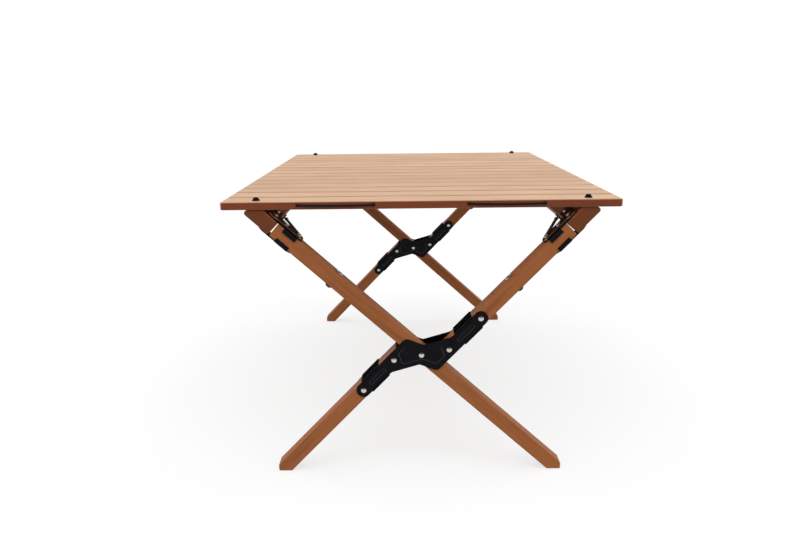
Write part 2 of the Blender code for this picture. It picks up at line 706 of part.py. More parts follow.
def bracket_flange(sign, wall):
    """Outline of one flange, a little inside the plate's fold so that their faces never coincide."""
    start = sign * (FLANGE_START + FLANGE_INSET)
    stop = sign * (FLANGE_START + FLANGE_LENGTH - FLANGE_INSET)
    inner = -sign * LEG_OFFSET + wall * (HALF_LEG + TOUCH)
    outer = inner + wall * (BRACKET_THICKNESS - FLANGE_INSET)
    return [(start, inner), (stop, inner), (stop, outer), (start, outer)]


def bracket_plate(matrix, outside):
    """Pressed plate on an end face of a split leg; outside is -1 on the outer face and 1 on the inner."""
    face = -TOUCH if outside < 0 else LEG_DEPTH + TOUCH
    skin = face + outside * BRACKET_THICKNESS
    crest = skin + outside * BRACKET_BEAD
    core = skin - outside * BRACKET_THICKNESS / 2
    deep = face - outside * FLANGE_DEPTH
    waist = BRACKET_WAIST - 2.5 * MM
    panel = rounded(point_symmetric([
        (-32.5 * MM, 11 * MM, 3 * MM), (-4 * MM, -waist, 4 * MM),
        (5.5 * MM, -28 * MM, 3 * MM), (24 * MM, -28 * MM, 4 * MM),
    ]))
    extras = [prism(panel, *sorted((core, crest)), edge=BEAD_EDGE)]
    for sign in (-1, 1):
        extras.append(prism(bracket_bead(sign), *sorted((core, crest)), edge=BEAD_EDGE))
        for wall in (-1, 1):
            extras.append(prism(bracket_flange(sign, wall), *sorted((core, deep))))
    plate = prism(bracket_outline(), *sorted((face, skin)))
    return placed(fused(plate, *extras), matrix @ SWAP_YZ)


def bracket_rivet(matrix, along, across, raised):
    """Rivet through both plates and the wood between them, its domed head on the outer side."""
    skin = TOUCH + BRACKET_THICKNESS + raised + TOUCH
    rivet = domed_pin(BRACKET_RIVET_DIAMETER, BRACKET_RIVET_HEAD, BRACKET_RIVET_DOME,
                      -LEG_DEPTH - skin, skin, BRACKET_RIVET_DOME * 0.7)
    turn = Matrix.Rotation(math.radians(90), 4, "X")
    return placed(rivet, matrix @ Matrix.Translation((along, 0, across)) @ turn)


def build_brackets(parent):
    """Two plates for each split leg, and five rivets; the centre rivet also carries the long leg."""
    for place, end in ENDS:
        matrix = frame_of(1, SPLIT_LEG_ANGLE, 0, end)
        centre = bracket_rivet(matrix, 0, 0, BRACKET_BEAD)
        add_piece(place + "_centre_rivet", centre, "nickel", parent=parent)
        holes = [[rivet_hole(PIVOT.x, PIVOT.z, end)], [rivet_hole(PIVOT.x, PIVOT.z, end)]]
        for number, (along, across) in enumerate(split_rivets(), 1):
            rivet = bracket_rivet(matrix, along, across, 0)
            add_piece(f"{place}_side_rivet_{number}", rivet, "nickel", parent=parent)
            world = matrix @ Vector((along, 0, across))
            for tools in holes:
                tools.append(rivet_hole(world.x, world.z, end))
        for (side, outside), tools in zip((("outer", -1), ("inner", 1)), holes):
            plate = cut(bracket_plate(matrix, outside), tools)
            add_piece(f"{place}_{side}_bracket", plate, "black_steel", parent=parent)


def cord_places():
    return -CORD_OUTER_X, -CORD_INNER_X, CORD_INNER_X, CORD_OUTER_X


def build_slats():
    """Slats with their holes; each slat after the first has its origin on the hinge line before it."""
    cord_height = TABLE_HEIGHT - CORD_HOLE_DEPTH
    for index in range(SLAT_COUNT):
        start = -TABLE_LENGTH / 2 + index * SLAT_PITCH
        low = start if index == 0 else start + SLAT_SEAM / 2
        high = start + SLAT_PITCH if index == SLAT_COUNT - 1 else start + SLAT_PITCH - SLAT_SEAM / 2
        corners = [
            (low, SLAT_UNDERSIDE, SLAT_EDGE_ROUND), (high, SLAT_UNDERSIDE, SLAT_EDGE_ROUND),
            (high, TABLE_HEIGHT, SLAT_EDGE_ROUND), (low, TABLE_HEIGHT, SLAT_EDGE_ROUND),
        ]
        along_x = Matrix(((0, 0, 1, 0), (1, 0, 0, 0), (0, 1, 0, 0), (0, 0, 0, 1)))
        outline = rounded(corners, WOOD_ARC_STEP)
        bar = prism(outline, -SLAT_LENGTH / 2, SLAT_LENGTH / 2, edge=SLAT_EDGE_ROUND / 2)
        slat = placed(bar, along_x)
        tools = []
        for x in cord_places():
            hole = cylinder(CORD_HOLE_DIAMETER, low - CUT_PAST, high + CUT_PAST)
            tools.append(placed(hole, Matrix.Translation((x, 0, cord_height)) @ SWAP_YZ))
        if index in (0, SLAT_COUNT - 1):
            neck = STUD_NECK_DIAMETER + 2 * NECK_CLEARANCE
            y = (low + STUD_INSET) if index == 0 else (high - STUD_INSET)
            for spec in SIDES.values():
                hole = cylinder(neck, SLAT_UNDERSIDE - CUT_PAST, TABLE_HEIGHT + CUT_PAST)
                tools.append(placed(hole, Matrix.Translation((stud_x(**spec), y, 0))))
        add_piece(f"slat_{index + 1:02d}", cut(slat, tools), "slat", Vector((0, start, TABLE_HEIGHT)))


def cord_loop(first, last):
    """Centre line of a cord loop: through every slat, across the far face, back, across the near face."""
    bend = CORD_DIAMETER / 2 + TOUCH
    height = TABLE_HEIGHT - CORD_HOLE_DEPTH
    route = []
    for end, start, stop in ((1, first, last), (-1, last, first)):
        face = end * TABLE_LENGTH / 2
        towards = math.copysign(bend, stop - start)
        for step in range(CORD_BEND_STEPS + 1):
            angle = step / CORD_BEND_STEPS * math.pi / 2
            across = start + towards * (1 - math.cos(angle))
            route.append(Vector((across, face + end * bend * math.sin(angle), height)))
        for step in range(1, CORD_RUN_STEPS):
            share = step / CORD_RUN_STEPS
            across = start + towards + (stop - start - 2 * towards) * share
            sag = CORD_SAG * 4 * share * (1 - share)
            route.append(Vector((across, face + end * bend, height - sag)))
        for step in range(CORD_BEND_STEPS + 1):
            angle = step / CORD_BEND_STEPS * math.pi / 2
            across = stop - towards * (1 - math.sin(angle))
            route.append(Vector((across, face + end * bend * math.cos(angle), height)))
    return route


def build_cords():
    """Two loops of elastic cord, each one closed tube."""
    left_outer, left_inner, right_inner, right_outer = cord_places()
    loops = (("left_cord", left_outer, left_inner), ("right_cord", right_inner, right_outer))
    for name, first, last in loops:
        origin = Vector(((first + last) / 2, 0, TABLE_HEIGHT))
        curve = bpy.data.curves.new(name, "CURVE")
        curve.dimensions = "3D"
        curve.bevel_depth = CORD_DIAMETER / 2
        curve.bevel_resolution = 2
        route = cord_loop(first, last)
        spline = curve.splines.new("POLY")
        spline.points.add(len(route) - 1)
        spline.use_cyclic_u = True
        spline.use_smooth = True
        for point, place in zip(spline.points, route):
            point.co = (*(place - origin), 1)
        add_object(name, curve, "cord", origin, None)


def build_table():
    clear_scene()
    right_frame = bpy.data.objects.new("right_frame_pivot", None)
    right_frame.location = PIVOT
    bpy.context.scene.collection.objects.link(right_frame)
    build_slats()
    build_cords()
    for name, parent in (("left", None), ("right", right_frame)):
        build_rail(name, parent)
        build_studs(name, parent)
        build_corners(name, parent)
    build_long_legs(None)
    build_split_legs(right_frame)
    build_brackets(right_frame)


build_table()
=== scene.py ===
"""Camping table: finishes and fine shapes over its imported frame, with a studio stage."""

import json
import math

import bmesh
import bpy
from bpy.props import FloatProperty, FloatVectorProperty, IntProperty, PointerProperty
from mathutils import Matrix, Vector


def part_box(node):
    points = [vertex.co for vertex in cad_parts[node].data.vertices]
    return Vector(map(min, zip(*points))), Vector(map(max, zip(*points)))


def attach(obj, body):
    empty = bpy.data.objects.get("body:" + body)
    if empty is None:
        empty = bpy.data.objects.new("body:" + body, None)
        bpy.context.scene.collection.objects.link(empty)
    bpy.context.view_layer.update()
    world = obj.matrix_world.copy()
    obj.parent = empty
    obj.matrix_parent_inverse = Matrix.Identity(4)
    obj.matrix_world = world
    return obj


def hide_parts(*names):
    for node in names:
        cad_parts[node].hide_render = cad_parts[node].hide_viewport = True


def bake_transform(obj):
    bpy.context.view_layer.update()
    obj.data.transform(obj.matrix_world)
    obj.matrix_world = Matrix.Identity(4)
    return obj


bl_info = {
    "name": "Camping table",
    "version": (1, 0, 0),
    "blender": (4, 5, 0),
    "location": "3D View > Sidebar > Camping table",
    "description": "Dresses a roll-top camping table in beech, coated steel, rubber and elastic cord",
    "category": "Object",
}

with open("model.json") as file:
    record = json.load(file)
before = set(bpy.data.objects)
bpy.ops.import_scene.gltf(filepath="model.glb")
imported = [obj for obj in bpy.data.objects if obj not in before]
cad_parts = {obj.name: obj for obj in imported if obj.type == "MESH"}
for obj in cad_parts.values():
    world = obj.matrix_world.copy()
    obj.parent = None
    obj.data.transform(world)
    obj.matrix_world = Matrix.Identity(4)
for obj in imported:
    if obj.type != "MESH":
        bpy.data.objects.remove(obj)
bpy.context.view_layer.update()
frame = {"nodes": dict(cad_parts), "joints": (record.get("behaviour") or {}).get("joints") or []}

MM = 0.001
NEAR, FAR = -1, 1
ENDS = (("near", NEAR), ("far", FAR))
PIVOT = Vector(next(joint["pos_m"] for joint in frame["joints"] if joint["name"] == "frame_close"))
SLATS = sorted(name for name in frame["nodes"] if name.startswith("slat_"))
SLAT_LOW, SLAT_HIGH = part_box(SLATS[0])
TOP_HEIGHT = SLAT_HIGH.z
TABLE_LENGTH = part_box(SLATS[-1])[1].y - SLAT_LOW.y
SLAT_PITCH = TABLE_LENGTH / len(SLATS)
RAIL_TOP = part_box("left_rail")[1].z
FRAME_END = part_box("left_rail")[1].y
LEG_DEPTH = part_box("near_long_leg")[1].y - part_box("near_long_leg")[0].y
MID_DEPTH = LEG_DEPTH / 2


def linear(hex_colour):
    """Linear red, green and blue of an sRGB colour written as #rrggbb."""
    channels = []
    for start in (1, 3, 5):
        value = int(hex_colour[start:start + 2], 16) / 255
        channels.append(value / 12.92 if value <= 0.04045 else ((value + 0.055) / 1.055) ** 2.4)
    return tuple(channels)


def length(name, description, default):
    return FloatProperty(name=name, description=description, default=default,
                         min=0, unit="LENGTH", precision=4)


def angle(name, description, degrees):
    return FloatProperty(name=name, description=description, default=math.radians(degrees), subtype="ANGLE")


def colour(name, description, hex_colour):
    return FloatVectorProperty(name=name, description=description, default=linear(hex_colour),
                               subtype="COLOR", min=0, max=1)


class TableSizes(bpy.types.PropertyGroup):
    """Sizes of the pieces that are shaped here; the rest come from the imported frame."""

    slat_round: length("Slat edge", "Rounding of the slats' edges, top and bottom", 1.5 * MM)
    slat_corner: length("Slat corner", "Rounding of the slats' corners, seen from above", 6 * MM)
    cord_diameter: length("Cord", "Diameter of the elastic cord", 3.4 * MM)
    cord_hole: length("Cord hole", "Diameter of the holes that the cord runs through", 5.8 * MM)
    cord_depth: length("Cord depth", "Depth of the cord's middle under the top", 4.8 * MM)
    cord_sag: length("Cord sag", "Sag of the cord between its holes", 0.9 * MM)
    leg_width: length("Leg width", "Width of a leg seen along the table", 23 * MM)
    leg_gap: length("Leg gap", "Gap between the legs when the frame is shut", 2.4 * MM)
    wood_round: length("Wood edge", "Rounding of the frame's long edges", 1.6 * MM)
    plate: length("Hinge plate", "Thickness of the hinge plates", 1.8 * MM)
    arm: length("Lock arm", "Thickness of the lock arms", 2.2 * MM)
    bracket: length("Bracket", "Thickness of the crossing brackets", 1.6 * MM)
    bead: length("Bead", "Height of the panel and beads pressed into a bracket", 0.8 * MM)
    long_angle: angle("Long leg angle", "Rise of the whole legs", 42)
    split_angle: angle("Split leg angle", "Rise of the split legs", 45.9)
    round_sides: IntProperty(name="Round sides", description="Facets round a turned piece",
                             default=40, min=12)


class TableColours(bpy.types.PropertyGroup):
    """Colours of the finishes."""

    top_light: colour("Top, light", "Light grain of the beech slats", "#e2bd9c")
    top_dark: colour("Top, dark", "Dark grain of the beech slats", "#cea480")
    frame_light: colour("Frame, light", "Light grain of the stained beech frame", "#ae6a3d")
    frame_dark: colour("Frame, dark", "Dark grain of the stained beech frame", "#965a31")
    black_coat: colour("Black coat", "Coat of the brackets and hinges", "#1a1a1c")
    bronze_coat: colour("Bronze coat", "Coat of the folding locks", "#5a4234")
    nickel: colour("Nickel", "Plate on the rivets and rings", "#cbc8c2")
    rubber: colour("Rubber", "Rubber of the studs and bolt caps", "#0b0b0c")
    cord: colour("Cord", "Braided cover of the elastic cord", "#0d0f11")


# Inputs of a Mix node that mixes colours, and its two ways of mixing
FACTOR, FIRST, SECOND = 0, 6, 7
BLEND = {"data_type": "RGBA", "blend_type": "MIX"}
MULTIPLY = {"data_type": "RGBA", "blend_type": "MULTIPLY"}


def opaque(shade):
    return (*shade, 1.0)


def shaded(shade, share):
    return tuple(channel * share for channel in shade)


def per_metre(size_mm):
    """Pattern scale that repeats once in a size given in millimetres."""
    return 1 / (size_mm * MM)


def plug(tree, node, inputs):
    """Give a node its inputs. Values are set; sockets, and nodes by their first output, are linked."""
    for key, value in inputs.items():
        if isinstance(value, bpy.types.Node):
            value = next(socket for socket in value.outputs if socket.enabled)
        if isinstance(value, bpy.types.NodeSocket):
            tree.links.new(value, node.inputs[key])
        else:
            node.inputs[key].default_value = value


def add_node(tree, kind, inputs=None, stops=(), **settings):
    """Add a shader node with its inputs, its settings and, for a ramp, its (place, colour) stops."""
    node = tree.nodes.new(kind)
    for key, value in settings.items():
        setattr(node, key, value)
    plug(tree, node, inputs or {})
    if stops:
        elements = node.color_ramp.elements
        while len(elements) < len(stops):
            elements.new(0.5)
        for element, (place, shade) in zip(elements, stops):
            element.position = place
            element.color = opaque(shade)
    return node


def new_material(name):
    """Material with only a Principled shader, its node tree and that shader."""
    material = bpy.data.materials.new(name)
    material.use_nodes = True
    return material, material.node_tree, material.node_tree.nodes["Principled BSDF"]


def toned(tree, body, share, pattern, stops):
    """Multiply a colour by the tones that a pattern picks from stops, at a share of their strength."""
    tones = add_node(tree, "ShaderNodeValToRGB", {"Fac": pattern}, stops)
    return add_node(tree, "ShaderNodeMix", {FACTOR: share, FIRST: body, SECOND: tones}, **MULTIPLY)


def painted_seam_shade(tree, body, count, pitch, normal):
    """Darken boards with painted shade along their long edges, where they meet, more at some seams than
    others, and on their sides.
    """
    nearest = add_node(tree, "ShaderNodeMath", {0: count}, operation="ROUND")
    away = add_node(tree, "ShaderNodeMath", {0: count, 1: nearest}, operation="SUBTRACT")
    apart = add_node(tree, "ShaderNodeMath", {0: away}, operation="ABSOLUTE")
    shade_starts, shade_full = 6.5 * MM / pitch, 2.6 * MM / pitch
    # Painted shade in the seams between boards
    close = add_node(tree, "ShaderNodeMapRange", {
        "Value": apart, "From Min": shade_starts, "From Max": shade_full})
    chance = add_node(tree, "ShaderNodeTexWhiteNoise", {"W": nearest}, noise_dimensions="1D")
    strength = add_node(tree, "ShaderNodeMapRange", {"Value": chance, "To Min": 0.4, "To Max": 1.0})
    seam = add_node(tree, "ShaderNodeMath", {0: close, 1: strength}, operation="MULTIPLY")
    # Painted shade on the boards' side faces, which look along Y
    facing = add_node(tree, "ShaderNodeSeparateXYZ", {"Vector": normal})
    square = add_node(tree, "ShaderNodeMath", {0: facing.outputs["Y"], 1: 2}, operation="POWER")
    side = add_node(tree, "ShaderNodeMapRange", {"Value": square, "From Min": 0.3, "From Max": 0.9})
    for mask, shade_tone in ((seam, (0.62, 0.28, 0.12)), (side, (0.37, 0.19, 0.06))):
        body = add_node(tree, "ShaderNodeMix", {
            FACTOR: mask, FIRST: body, SECOND: opaque(shade_tone)}, **MULTIPLY)
    return body


def beech(name, light, dark, turn, roughness, specular, board=None):
    """Beech, planed and oiled: straight fine grain, short dark ray flecks and a satin surface.

    turn rotates the board so that its grain lies along X. board gives the pitch of boards laid side by side
    along Y, each of which gets its own tone and its own stretch of grain, with painted shade at the seams
    and on the sides.
    """
    material, tree, shader = new_material(name)
    coords = add_node(tree, "ShaderNodeTexCoord").outputs
    grain = add_node(tree, "ShaderNodeMapping", {"Vector": coords["Object"], "Rotation": turn})
    if board:
        parts = add_node(tree, "ShaderNodeSeparateXYZ", {"Vector": coords["Object"]})
        count = add_node(tree, "ShaderNodeMath", {
            0: parts.outputs["Y"], 1: 1 / board, 2: 0.5}, operation="MULTIPLY_ADD")
        whole = add_node(tree, "ShaderNodeMath", {0: count}, operation="FLOOR")
        chance = add_node(tree, "ShaderNodeTexWhiteNoise", {"W": whole}, noise_dimensions="1D")
        # Each board's grain is taken from somewhere else within three metres
        grain = add_node(tree, "ShaderNodeVectorMath", {
            0: chance.outputs["Color"], 1: (3.0, 3.0, 3.0), 2: grain}, operation="MULTIPLY_ADD")
    # Growth rings, cut nearly flat: bands a few millimetres wide that run the length of the board
    ring_place = add_node(tree, "ShaderNodeMapping", {"Vector": grain, "Scale": (0.05, 1, 1)})
    rings = add_node(tree, "ShaderNodeTexNoise", {
        "Vector": ring_place, "Scale": per_metre(9), "Detail": 5, "Roughness": 0.62, "Distortion": 0.6})
    body = add_node(tree, "ShaderNodeValToRGB", {"Fac": rings}, [
        (0.3, dark), (0.52, light), (0.72, shaded(light, 1.05))])
    # Pores, drawn about a millimetre apart so that they show
    pore_place = add_node(tree, "ShaderNodeMapping", {"Vector": grain, "Scale": (0.03, 1, 1)})
    pores = add_node(tree, "ShaderNodeTexNoise", {
        "Vector": pore_place, "Scale": per_metre(1.1), "Detail": 3, "Roughness": 0.5})
    body = toned(tree, body, 0.55, pores, [(0.35, (0.74, 0.70, 0.66)), (0.58, (1, 1, 1))])
    # Ray flecks: dark dashes, drawn some 5 mm long and under a millimetre wide so that they show
    fleck_place = add_node(tree, "ShaderNodeMapping", {"Vector": grain, "Scale": (0.14, 1, 1)})
    flecks = add_node(tree, "ShaderNodeTexVoronoi", {
        "Vector": fleck_place, "Scale": per_metre(2.2), "Randomness": 1.0})
    body = toned(tree, body, 0.4, flecks, [(0.1, (0.55, 0.45, 0.38)), (0.2, (1, 1, 1))])
    # Broad tone changes from the tree, some 120 mm long
    broad = add_node(tree, "ShaderNodeTexNoise", {"Vector": grain, "Scale": per_metre(120), "Detail": 2})
    body = toned(tree, body, 0.8, broad, [(0.3, (0.9, 0.87, 0.84)), (0.7, (1.04, 1.04, 1.04))])
    if board:
        body = toned(tree, body, 0.9, chance, [(0.0, (0.9, 0.86, 0.82)), (1.0, (1.05, 1.05, 1.04))])
        # Painted shade at the seams and on the boards' sides
        body = painted_seam_shade(tree, body, count, board, coords["Normal"])
    # End grain drinks more oil, so it is darker and plainer
    facing = add_node(tree, "ShaderNodeMapping", {"Vector": coords["Normal"], "Rotation": turn})
    along = add_node(tree, "ShaderNodeSeparateXYZ", {"Vector": facing})
    squared = add_node(tree, "ShaderNodeMath", {0: along.outputs["X"], 1: 2}, operation="POWER")
    cut_end = add_node(tree, "ShaderNodeMapRange", {"Value": squared, "From Min": 0.6, "From Max": 0.95})
    middle = tuple((first + second) / 2 for first, second in zip(light, dark))
    plain = add_node(tree, "ShaderNodeMix", {FACTOR: 0.7, FIRST: body, SECOND: opaque(middle)}, **BLEND)
    oiled = add_node(tree, "ShaderNodeMix", {
        FACTOR: 1.0, FIRST: plain, SECOND: opaque((0.46, 0.37, 0.31))}, **MULTIPLY)
    body = add_node(tree, "ShaderNodeMix", {FACTOR: cut_end, FIRST: body, SECOND: oiled}, **BLEND)
    gloss = add_node(tree, "ShaderNodeMapRange", {
        "Value": rings, "To Min": roughness - 0.06, "To Max": roughness + 0.1})
    relief = add_node(tree, "ShaderNodeBump", {"Height": pores, "Strength": 0.25, "Distance": 0.15 * MM})
    plug(tree, shader, {
        "Base Color": body, "Roughness": gloss, "Normal": relief, "Specular IOR Level": specular})
    return material


def coated_steel(name, shade, roughness, glance):
    """Electro-coated steel: dark satin metal with a faint orange peel, rubbed a little lighter in places,
    and with painted highlights on its slopes and rounded edges.

    glance is how much of the usual brightening is left where the surface is seen edge on.
    """
    material, tree, shader = new_material(name)
    coords = add_node(tree, "ShaderNodeTexCoord").outputs
    peel = add_node(tree, "ShaderNodeTexNoise", {
        "Vector": coords["Object"], "Scale": per_metre(0.9), "Detail": 3})
    rubbed = add_node(tree, "ShaderNodeTexNoise", {
        "Vector": coords["Object"], "Scale": per_metre(14), "Detail": 4, "Roughness": 0.7})
    worn = add_node(tree, "ShaderNodeValToRGB", {"Fac": rubbed}, [
        (0.35, shaded(shade, 0.8)), (0.62, shade), (0.8, shaded(shade, 1.5))])
    # Painted highlight: folds, beads and rounded edges, which lean away from the end faces of the frame,
    # are made lighter
    lean = add_node(tree, "ShaderNodeSeparateXYZ", {"Vector": coords["Normal"]})
    upright = add_node(tree, "ShaderNodeMath", {0: lean.outputs["Y"]}, operation="ABSOLUTE")
    edge = add_node(tree, "ShaderNodeValToRGB", {"Fac": upright}, [
        (0.35, (0, 0, 0)), (0.6, (1, 1, 1)), (0.9, (1, 1, 1)), (0.97, (0, 0, 0))])
    body = add_node(tree, "ShaderNodeMix", {
        FACTOR: edge, FIRST: worn, SECOND: opaque(shaded(shade, 4.5))}, **BLEND)
    gloss = add_node(tree, "ShaderNodeMapRange", {
        "Value": rubbed, "To Min": roughness - 0.08, "To Max": roughness + 0.12})
    relief = add_node(tree, "ShaderNodeBump", {"Height": peel, "Strength": 0.15, "Distance": 0.05 * MM})
    plug(tree, shader, {
        "Base Color": body, "Roughness": gloss, "Normal": relief,
        "Metallic": 1.0, "Specular Tint": opaque((glance, glance, glance))})
    return material


def nickel_plate(name, shade):
    """Nickel plate on a headed rivet: bright, with faint scuffs from the rivet tool."""
    material, tree, shader = new_material(name)
    coords = add_node(tree, "ShaderNodeTexCoord").outputs
    scuffs = add_node(tree, "ShaderNodeTexNoise", {
        "Vector": coords["Object"], "Scale": per_metre(2.5), "Detail": 6, "Roughness": 0.75})
    body = add_node(tree, "ShaderNodeValToRGB", {"Fac": scuffs}, [(0.3, shaded(shade, 0.82)), (0.6, shade)])
    gloss = add_node(tree, "ShaderNodeMapRange", {"Value": scuffs, "To Min": 0.06, "To Max": 0.18})
    plug(tree, shader, {"Base Color": body, "Roughness": gloss, "Metallic": 1.0})
    return material


def moulded_rubber(name, shade):
    """Moulded natural rubber: dull black with a dusty bloom and a fine spark-eroded grain."""
    material, tree, shader = new_material(name)
    coords = add_node(tree, "ShaderNodeTexCoord").outputs
    bloom = add_node(tree, "ShaderNodeTexNoise", {
        "Vector": coords["Object"], "Scale": per_metre(5), "Detail": 5})
    body = add_node(tree, "ShaderNodeValToRGB", {"Fac": bloom}, [(0.4, shade), (0.75, shaded(shade, 2.2))])
    grain = add_node(tree, "ShaderNodeTexNoise", {
        "Vector": coords["Object"], "Scale": per_metre(0.6), "Detail": 2})
    relief = add_node(tree, "ShaderNodeBump", {"Height": grain, "Strength": 0.25, "Distance": 0.05 * MM})
    plug(tree, shader, {"Base Color": body, "Normal": relief, "Roughness": 0.6, "Specular IOR Level": 0.12})
    return material


def braided_cord(name, shade):
    """Polyester braid over an elastic core: crossed yarns, drawn 1.1 mm wide so that they show."""
    material, tree, shader = new_material(name)
    coords = add_node(tree, "ShaderNodeTexCoord").outputs
    yarn_in_centimetres = 0.11
    scale = 1 / (math.tau * yarn_in_centimetres)
    yarns = []
    for lean in (math.radians(45), math.radians(-45)):
        crossed = add_node(tree, "ShaderNodeMapping", {"Vector": coords["UV"], "Rotation": (0, 0, lean)})
        yarn = add_node(tree, "ShaderNodeTexWave", {
            "Vector": crossed, "Scale": scale, "Distortion": 0.2}, wave_profile="SIN")
        yarns.append(yarn.outputs["Fac"])
    over = add_node(tree, "ShaderNodeMath", {0: yarns[0], 1: yarns[1]}, operation="MAXIMUM")
    body = add_node(tree, "ShaderNodeValToRGB", {"Fac": over}, [
        (0.45, shaded(shade, 0.5)), (1.0, shaded(shade, 1.8))])
    relief = add_node(tree, "ShaderNodeBump", {"Height": over, "Strength": 0.6, "Distance": 0.15 * MM})
    plug(tree, shader, {
        "Base Color": body, "Normal": relief, "Roughness": 0.8,
        "Sheen Weight": 0.1, "Specular IOR Level": 0.2})
    return material


def finish(name):
    """Material of a finish by its name, made when it is first asked for."""
    if name in bpy.data.materials:
        return bpy.data.materials[name]
    tints = bpy.context.scene.table_colours
    sizes = bpy.context.scene.table_sizes
    stained = {"light": tints.frame_light, "dark": tints.frame_dark, "roughness": 0.52, "specular": 0.25}
    makers = {
        "oiled_beech_top": lambda: beech(name, tints.top_light, tints.top_dark, (0, 0, 0),
                                         roughness=0.42, specular=0.4, board=SLAT_PITCH),
        "stained_beech_rail": lambda: beech(name, turn=(0, 0, -math.pi / 2), **stained),
        "stained_beech_long_leg": lambda: beech(name, turn=(0, math.pi - sizes.long_angle, 0), **stained),
        "stained_beech_split_leg": lambda: beech(name, turn=(0, sizes.split_angle, 0), **stained),
        "black_coated_steel": lambda: coated_steel(name, tints.black_coat, roughness=0.38, glance=0.2),
        "bronze_coated_steel": lambda: coated_steel(name, tints.bronze_coat, roughness=0.36, glance=0.4),
        "nickel_plated_steel": lambda: nickel_plate(name, tints.nickel),
        "moulded_rubber": lambda: moulded_rubber(name, tints.rubber),
        "braided_cord": lambda: braided_cord(name, tints.cord),
    }
    return makers[name]()


# Turns for shapes drawn in the XY plane: onto XZ, and with their Z along X
SWAP_YZ = Matrix(((1, 0, 0, 0), (0, 0, 1, 0), (0, 1, 0, 0), (0, 0, 0, 1)))
ALONG_X = Matrix(((0, 0, 1, 0), (1, 0, 0, 0), (0, 1, 0, 0), (0, 0, 0, 1)))


def axes_matrix(*columns):
    """Matrix from its x, y and z axes and its origin."""
    matrix = Matrix.Identity(4)
    for number, column in enumerate(columns):
        matrix.col[number][:3] = column
    return matrix


def faced_out(mesh):
    """Turn the faces of a closed solid outwards."""
    bmesh.ops.recalc_face_normals(mesh, faces=mesh.faces)
    if mesh.calc_volume(signed=True) < 0:
        bmesh.ops.reverse_faces(mesh, faces=mesh.faces)
    return mesh


def placed(mesh, matrix):
    mesh.transform(matrix)
    return faced_out(mesh)


def corner_arc(before, corner, after, radius, arc_step, slack=0.0):
    """Arc that rounds a corner, as large as its edges hold; slack spares a step on a near miss."""
    corner = Vector(corner)
    before = Vector(before) - corner
    after = Vector(after) - corner
    half = before.angle(after) / 2
    edge_share = 0.48
    radius = min(radius, edge_share * min(before.length, after.length) * math.tan(half))
    if radius <= 0:
        return [corner]
    before.normalize()
    after.normalize()
    centre = corner + (before + after).normalized() * radius / math.sin(half)
    start = corner + before * radius / math.tan(half) - centre
    stop = corner + after * radius / math.tan(half) - centre
    turn = math.atan2(start.x * stop.y - start.y * stop.x, start.dot(stop))
    steps = max(1, math.ceil(abs(turn) / arc_step - slack))
    return [centre + Matrix.Rotation(turn * step / steps, 2) @ start for step in range(steps + 1)]


def rounded(corners, arc_step=math.radians(10)):
    """Closed outline from (a, b, radius) corners."""
    outline = []
    for before, corner, after in zip(corners[-1:] + corners, corners, corners[1:] + corners[:1]):
        outline += corner_arc(before[:2], corner[:2], after[:2], corner[2], arc_step, slack=0.01)
    return outline


def soft_profile(corners, arc_step=math.radians(18)):
    """Open profile from (radius, height, rounding) points; the first and last stay sharp."""
    points = [Vector(corners[0][:2])]
    for before, corner, after in zip(corners, corners[1:], corners[2:]):
        points += corner_arc(before[:2], corner[:2], after[:2], corner[2], arc_step)
    return [tuple(point) for point in points] + [corners[-1][:2]]


def extruded(outline, low, high):
    """Solid with an outline in the XY plane, from low to high along Z."""
    mesh = bmesh.new()
    face = mesh.faces.new([mesh.verts.new((point[0], point[1], low)) for point in outline])
    grown = bmesh.ops.extrude_face_region(mesh, geom=[face])
    moved = [item for item in grown["geom"] if isinstance(item, bmesh.types.BMVert)]
    bmesh.ops.translate(mesh, vec=(0, 0, high - low), verts=moved)
    return faced_out(mesh)


def oblong(low_a, low_b, high_a, high_b, radius=0.0):
    """Corners of a rectangle from two opposite ones, each with the same rounding."""
    corners = ((low_a, low_b), (high_a, low_b), (high_a, high_b), (low_a, high_b))
    return [(*corner, radius) for corner in corners]


def bevel(mesh, edges, width, segments):
    bmesh.ops.bevel(mesh, geom=edges, offset=width, segments=segments, affect="EDGES", clamp_overlap=True,
                    profile=0.5)


def prism(outline, low, high, edge=0.0, segments=3):
    """Extrude an outline in the XY plane along Z, with its two rims rounded by edge."""
    mesh = extruded(outline, low, high)
    if edge > 0:
        rims = [item for item in mesh.edges if item.verts[0].co.z == item.verts[1].co.z]
        bevel(mesh, rims, edge, segments)
    return mesh


def embossed(outline, base, skin, crest, slope, soft=0.3 * MM):
    """Solid that rises straight from base to skin, then over a slope to a flat crest with soft edges."""
    mesh = extruded(outline, base, skin)
    top = max(mesh.faces, key=lambda item: (crest - base) * item.calc_center_median().z)
    bmesh.ops.inset_region(mesh, faces=[top], thickness=slope, depth=abs(crest - skin),
                           use_even_offset=True)
    bevel(mesh, list(top.edges), soft, 2)
    return faced_out(mesh)


def turned(profile, sides, closed=False):
    """Solid of revolution about Z from (radius, height) points; a closed profile makes a ring."""
    mesh = bmesh.new()
    verts = [mesh.verts.new((radius, 0, height)) for radius, height in profile]
    edges = [mesh.edges.new(pair) for pair in zip(verts, verts[1:])]
    if closed:
        edges.append(mesh.edges.new((verts[-1], verts[0])))
    whole_turn = {"cent": (0, 0, 0), "axis": (0, 0, 1), "angle": math.tau, "steps": sides}
    bmesh.ops.spin(mesh, geom=verts + edges, **whole_turn)
    bmesh.ops.remove_doubles(mesh, verts=mesh.verts, dist=1e-6)
    return faced_out(mesh)


def cylinder(diameter, low, high, sides):
    radius = diameter / 2
    return turned([(0, low), (radius, low), (radius, high), (0, high)], sides)


def dome(radius, height, base, steps=8):
    """Profile of a spherical-looking head from its rim up to its crown."""
    points = []
    for step in range(steps):
        rise = step / steps * math.pi / 2
        points.append((radius * math.cos(rise), base + height * math.sin(rise)))
    return points + [(0, base + height)]


